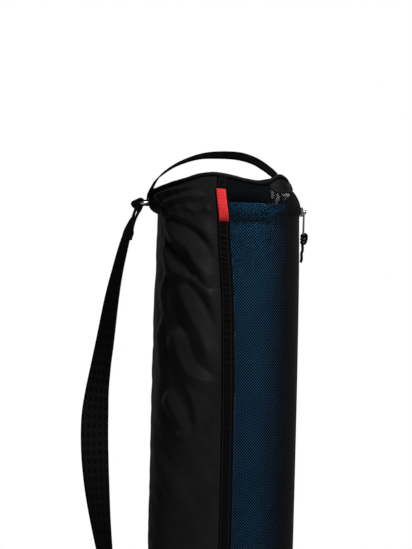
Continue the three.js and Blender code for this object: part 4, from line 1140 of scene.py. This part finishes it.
def addHandle():
    # an arch through the rows' points, from the left ear's face to the right ear
    endAngle = (strap["patchFrom"] + strap["patchTo"]) / 2 + strap["endTurn"]
    endRadius = float(rimRadius(endAngle)) - strap["endInset"]
    right = endRadius * np.array([math.cos(endAngle * degree), math.sin(endAngle * degree)])
    rows = np.array(archRows, float)
    points = np.stack([mix(-leftFace, right[0], rows[:, 0]), right[1] * smooth(rows[:, 0]),
                       crownFoot + (bag["crownHeight"] + strap["handleRise"]) * rows[:, 1]], axis=-1)
    step = np.linspace(0, 1, 240)
    path = curvePoints(points, step * (len(rows) - 1))
    turns = np.column_stack([np.linspace(0, 1, len(rows)), rows[:, 2]])
    turn = readTable(turns, step, 1) * degree
    lean = smooth((step - 0.06) / 0.06) * (1 - smooth((step - 0.12) / 0.14))
    yaw = -endAngle * degree * smooth(step) + strap["leftYaw"] * degree * lean
    side = np.stack([np.sin(yaw) * np.cos(turn), np.cos(yaw) * np.cos(turn), np.sin(turn)], axis=-1)
    mesh = bandMesh("handle_webbing", path, side, strap["handleWidth"], strap["handleWall"])
    # the handle's darker webbing colour is painted shade
    addPiece("handle_webbing", mesh, looks["handle"], ["carry_handle"])


def ringTurn(points, tabFace):
    # turned about the upright line where the tab leaves the bag
    shift = np.array([tabFace, 0, 0])
    return turned(points + shift, strap["ringYaw"]) - shift


def strapRoute():
    # round the ring and back on itself, then out, down and in to the anchor
    bar = strap["wire"] / 2
    tabTurn = bar + bag["gap"] + strap["tabWall"] / 2
    tabFace = leftFace + strap["handleWall"] / 2 + bag["gap"] + strap["tabWall"] / 2
    tilt = strap["ringTilt"] * degree
    ringAlong = np.array([math.cos(tilt), 0, math.sin(tilt)])
    tabBar = np.array([-tabFace - tabTurn / 2, 0, crownFoot + bag["crownHeight"] * strap["ringUp"]])
    ringBar = tabBar - ringAlong * strap["ringSpan"]
    loop = ringTurn(ringBar + np.array([0, 0, (strap["loopRadius"] - strap["wall"] / 2 - bar) / 2]), tabFace)
    return {"tabTurn": tabTurn, "tabFace": tabFace, "ringAlong": ringAlong, "tabBar": tabBar,
            "ringBar": ringBar, "loop": loop}


def addShoulderStrap():
    # one band down a drawn line, with its end laid round the ring and back on itself
    seats = strapRoute()
    loop = seats["loop"]
    rows = np.array(dropRows, float)
    sideFace = float(profile(180.0, levelOf(np.array(strap["anchorHeight"])))[0]) + bag["gap"] + strap["wall"] / 2
    spine = np.stack([-bag["radius"] * 1.02 - strap["bow"] * rows[:, 1],
                      -strap["bow"] * rows[:, 3] + loop[1] * (rows[:, 0] < 0.05),
                      mix(loop[2], strap["anchorHeight"], rows[:, 0])], axis=-1)
    spine[0] = loop
    spine[-1] = (-sideFace, 0, strap["anchorHeight"])
    spine = np.concatenate([spine, [(-sideFace, 0, strap["anchorHeight"] - strap["anchorLength"])]])
    dense = curvePoints(spine, np.linspace(0, len(spine) - 1, 2400))
    way = wayAlong(dense)
    total = way[-1]

    def layer(s, sign):
        point = readPath(s, way, dense)
        along = unit(readPath(np.minimum(s + 1, total), way, dense)
                     - readPath(np.maximum(s - 1, 0), way, dense))
        down = (loop[2] - point[:, 2]) / (loop[2] - strap["anchorHeight"])
        turn = readTable(dropRows, down, 2) * degree
        side = np.stack([-np.sin(turn), np.cos(turn), 0 * turn], axis=-1)
        side = squareTo(along, side)
        off = unit(np.cross(side, along))
        share = s / strap["foldBack"]
        half = readTable(spreadRows, share, 1) * strap["loopRadius"] * (1 - smooth(share - 1))
        return point + off * (sign * half)[:, None], side, off, along

    folded = layer(np.linspace(strap["foldBack"], 0, 60), -1)
    main = layer(np.concatenate([np.linspace(0, strap["foldBack"], 60),
                                 np.linspace(strap["foldBack"], total, 340)[1:]]), 1)
    off, side = main[2][0], main[1][0]
    upward = -main[3][0]
    turn = np.linspace(math.pi, 0, 26)[1:-1, None]
    bend = loop + strap["loopRadius"] * (off * np.cos(turn) + upward * np.sin(turn))
    path = np.concatenate([folded[0], bend, main[0]])
    sides = np.concatenate([folded[1], np.broadcast_to(side, bend.shape), main[1]])
    mesh = bandMesh("strap_webbing", path, sides, strap["width"], strap["wall"])
    addPiece("strap_webbing", mesh, looks["webbing"], ["shoulder_strap"])


def addRing():
    # a round wire along a rectangle with rounded corners, and the tab that holds it
    seats = strapRoute()
    half = strap["width"] / 2 + bag["gap"] + strap["wire"]
    corner = strap["wire"] * 0.9
    tilt = strap["ringTilt"] * degree
    up = np.array([-math.sin(tilt), 0, math.cos(tilt)])
    middle = (seats["ringBar"] + seats["tabBar"]) / 2
    turn = np.concatenate([np.linspace(k * 90, k * 90 + 90, 9) for k in range(4)]) * degree
    signX, signY = np.sign(np.repeat([1, -1, -1, 1], 9)), np.sign(np.repeat([1, 1, -1, -1], 9))
    along = signX * (strap["ringSpan"] / 2 - corner) + corner * np.cos(turn)
    sideways = signY * (half - corner) + corner * np.sin(turn)
    round_ = np.linspace(0, 2 * math.pi, 16, endpoint=False)[None, :, None]
    outward = np.stack([np.cos(turn), np.sin(turn)], axis=-1)
    centre = middle + along[:, None] * seats["ringAlong"] + sideways[:, None] * np.array([0, 1, 0])
    outDirection = outward[:, :1] * seats["ringAlong"] + outward[:, 1:] * np.array([0, 1, 0])
    rings = centre[:, None] + strap["wire"] / 2 * (outDirection[:, None] * np.cos(round_)
                                                   + up * np.sin(round_))
    addPiece("wire_ring", ringsMesh("wire_ring", ringTurn(rings, seats["tabFace"]), True), looks["metal"],
             ["strap_ring"])
    tabTurn, tabFace, tabBar = seats["tabTurn"], seats["tabFace"], seats["tabBar"]
    # both layers of the tab come together and run into the ear's tip
    bendTurn = np.linspace(-75, -327, 40) * degree
    bend = np.stack([tabBar[0] + tabTurn * np.cos(bendTurn), 0 * bendTurn,
                     tabBar[2] + tabTurn * np.sin(bendTurn)], axis=-1)
    tips = [(3 - tabFace, 0, tabBar[2] - strap["tabSink"] + side * (strap["tabWall"] / 2 + 0.05))
            for side in (-1, 1)]
    path = np.concatenate([tips[:1], ringTurn(bend, tabFace), tips[1:]])
    yaw = strap["ringYaw"] * degree * np.concatenate([[0], smooth(np.sin(np.linspace(0, math.pi, 40)) * 1.6),
                                                      [0]])
    sides = np.stack([-np.sin(yaw), np.cos(yaw), 0 * yaw], axis=-1)
    mesh = bandMesh("tab_webbing", path, sides, strap["tabWidth"], strap["tabWall"])
    addPiece("tab_webbing", mesh, looks["webbing"], ["ring_tab"])


def wallPatch(name, node, fromAngle, toAngle, low, high, seat, material, lobe=0.0):
    # a sewn patch on the wall with a soft turned edge; lobe rounds off its lower corners
    shares, rows = np.linspace(0, 1, 41), np.linspace(0, 1, 33)[:, None]
    foot = lambda x: low + lobe * (high - low) * (1 - np.sqrt(1 - (0.98 * (2 * x - 1)) ** 2))
    angle = mix(fromAngle, toAngle, shares) + 0 * rows
    level = mix(foot(shares), high, rows)
    width = abs(toAngle - fromAngle) * degree * bag["radius"]
    length = float(profile((fromAngle + toAngle) / 2, high)[1] - profile((fromAngle + toAngle) / 2, low)[1])
    edge = np.minimum(np.minimum(shares, 1 - shares) * width, np.minimum(rows, 1 - rows) * length)
    lift = seat - 0.5 * (1 - smooth(edge / 1.0)) + 0.25 * softNoise(shares * 5, rows * 4,
                                                                    81) * smooth(edge / 4)
    outer, inner = wallPoints(angle, level, lift), wallPoints(angle, level, seat - strap["patchWall"])
    addPiece(name, wallMesh(name, outer, inner, clothUv(shares * width, rows * length)), material, [node])
    run, x, y = np.linspace(0, 1, 60), bag["stitchInset"] / width, bag["stitchInset"] / length
    for k, (x, y) in enumerate(((run, y), (run, 1 - y), (x, run), (1 - x, run))):
        stitchWall("%s_stitch_%d" % (name, k), mix(fromAngle, toAngle, x), mix(foot(x), high, y), seat + 0.05,
                   "patch")


def addPatches():
    gap, wall = bag["gap"], strap["patchWall"]
    quarter = (strap["patchTo"] - strap["patchFrom"]) / 4 * degree * bag["radius"]
    seat = gap + wall + quarter**2 / (8 * bag["radius"])
    low = levelAtHeight(strap["patchFrom"], rimHeight(strap["patchFrom"]) - strap["patchDrop"])
    spare = strap["lobeSpare"]
    wallPatch("ear_cloth", "ear_patch", strap["patchFrom"] - spare, strap["patchTo"] + spare, low, 2.0, seat,
              looks["binding"], 0.8)
    half = arc(strap["anchorHalf"])
    seat = 3 * gap + strap["wall"] + wall + strap["width"] ** 2 / (8 * bag["radius"])
    levels = [float(levelOf(np.array(strap["anchorHeight"] - drop)))
              for drop in (strap["anchorLength"] + 6, 8)]
    wallPatch("anchor_cloth", "strap_anchor", 180 - half, 180 + half, levels[0], levels[1], seat,
              looks["coated"])


print("stage: straps")
addHandle()
addShoulderStrap()
addRing()
addPatches()
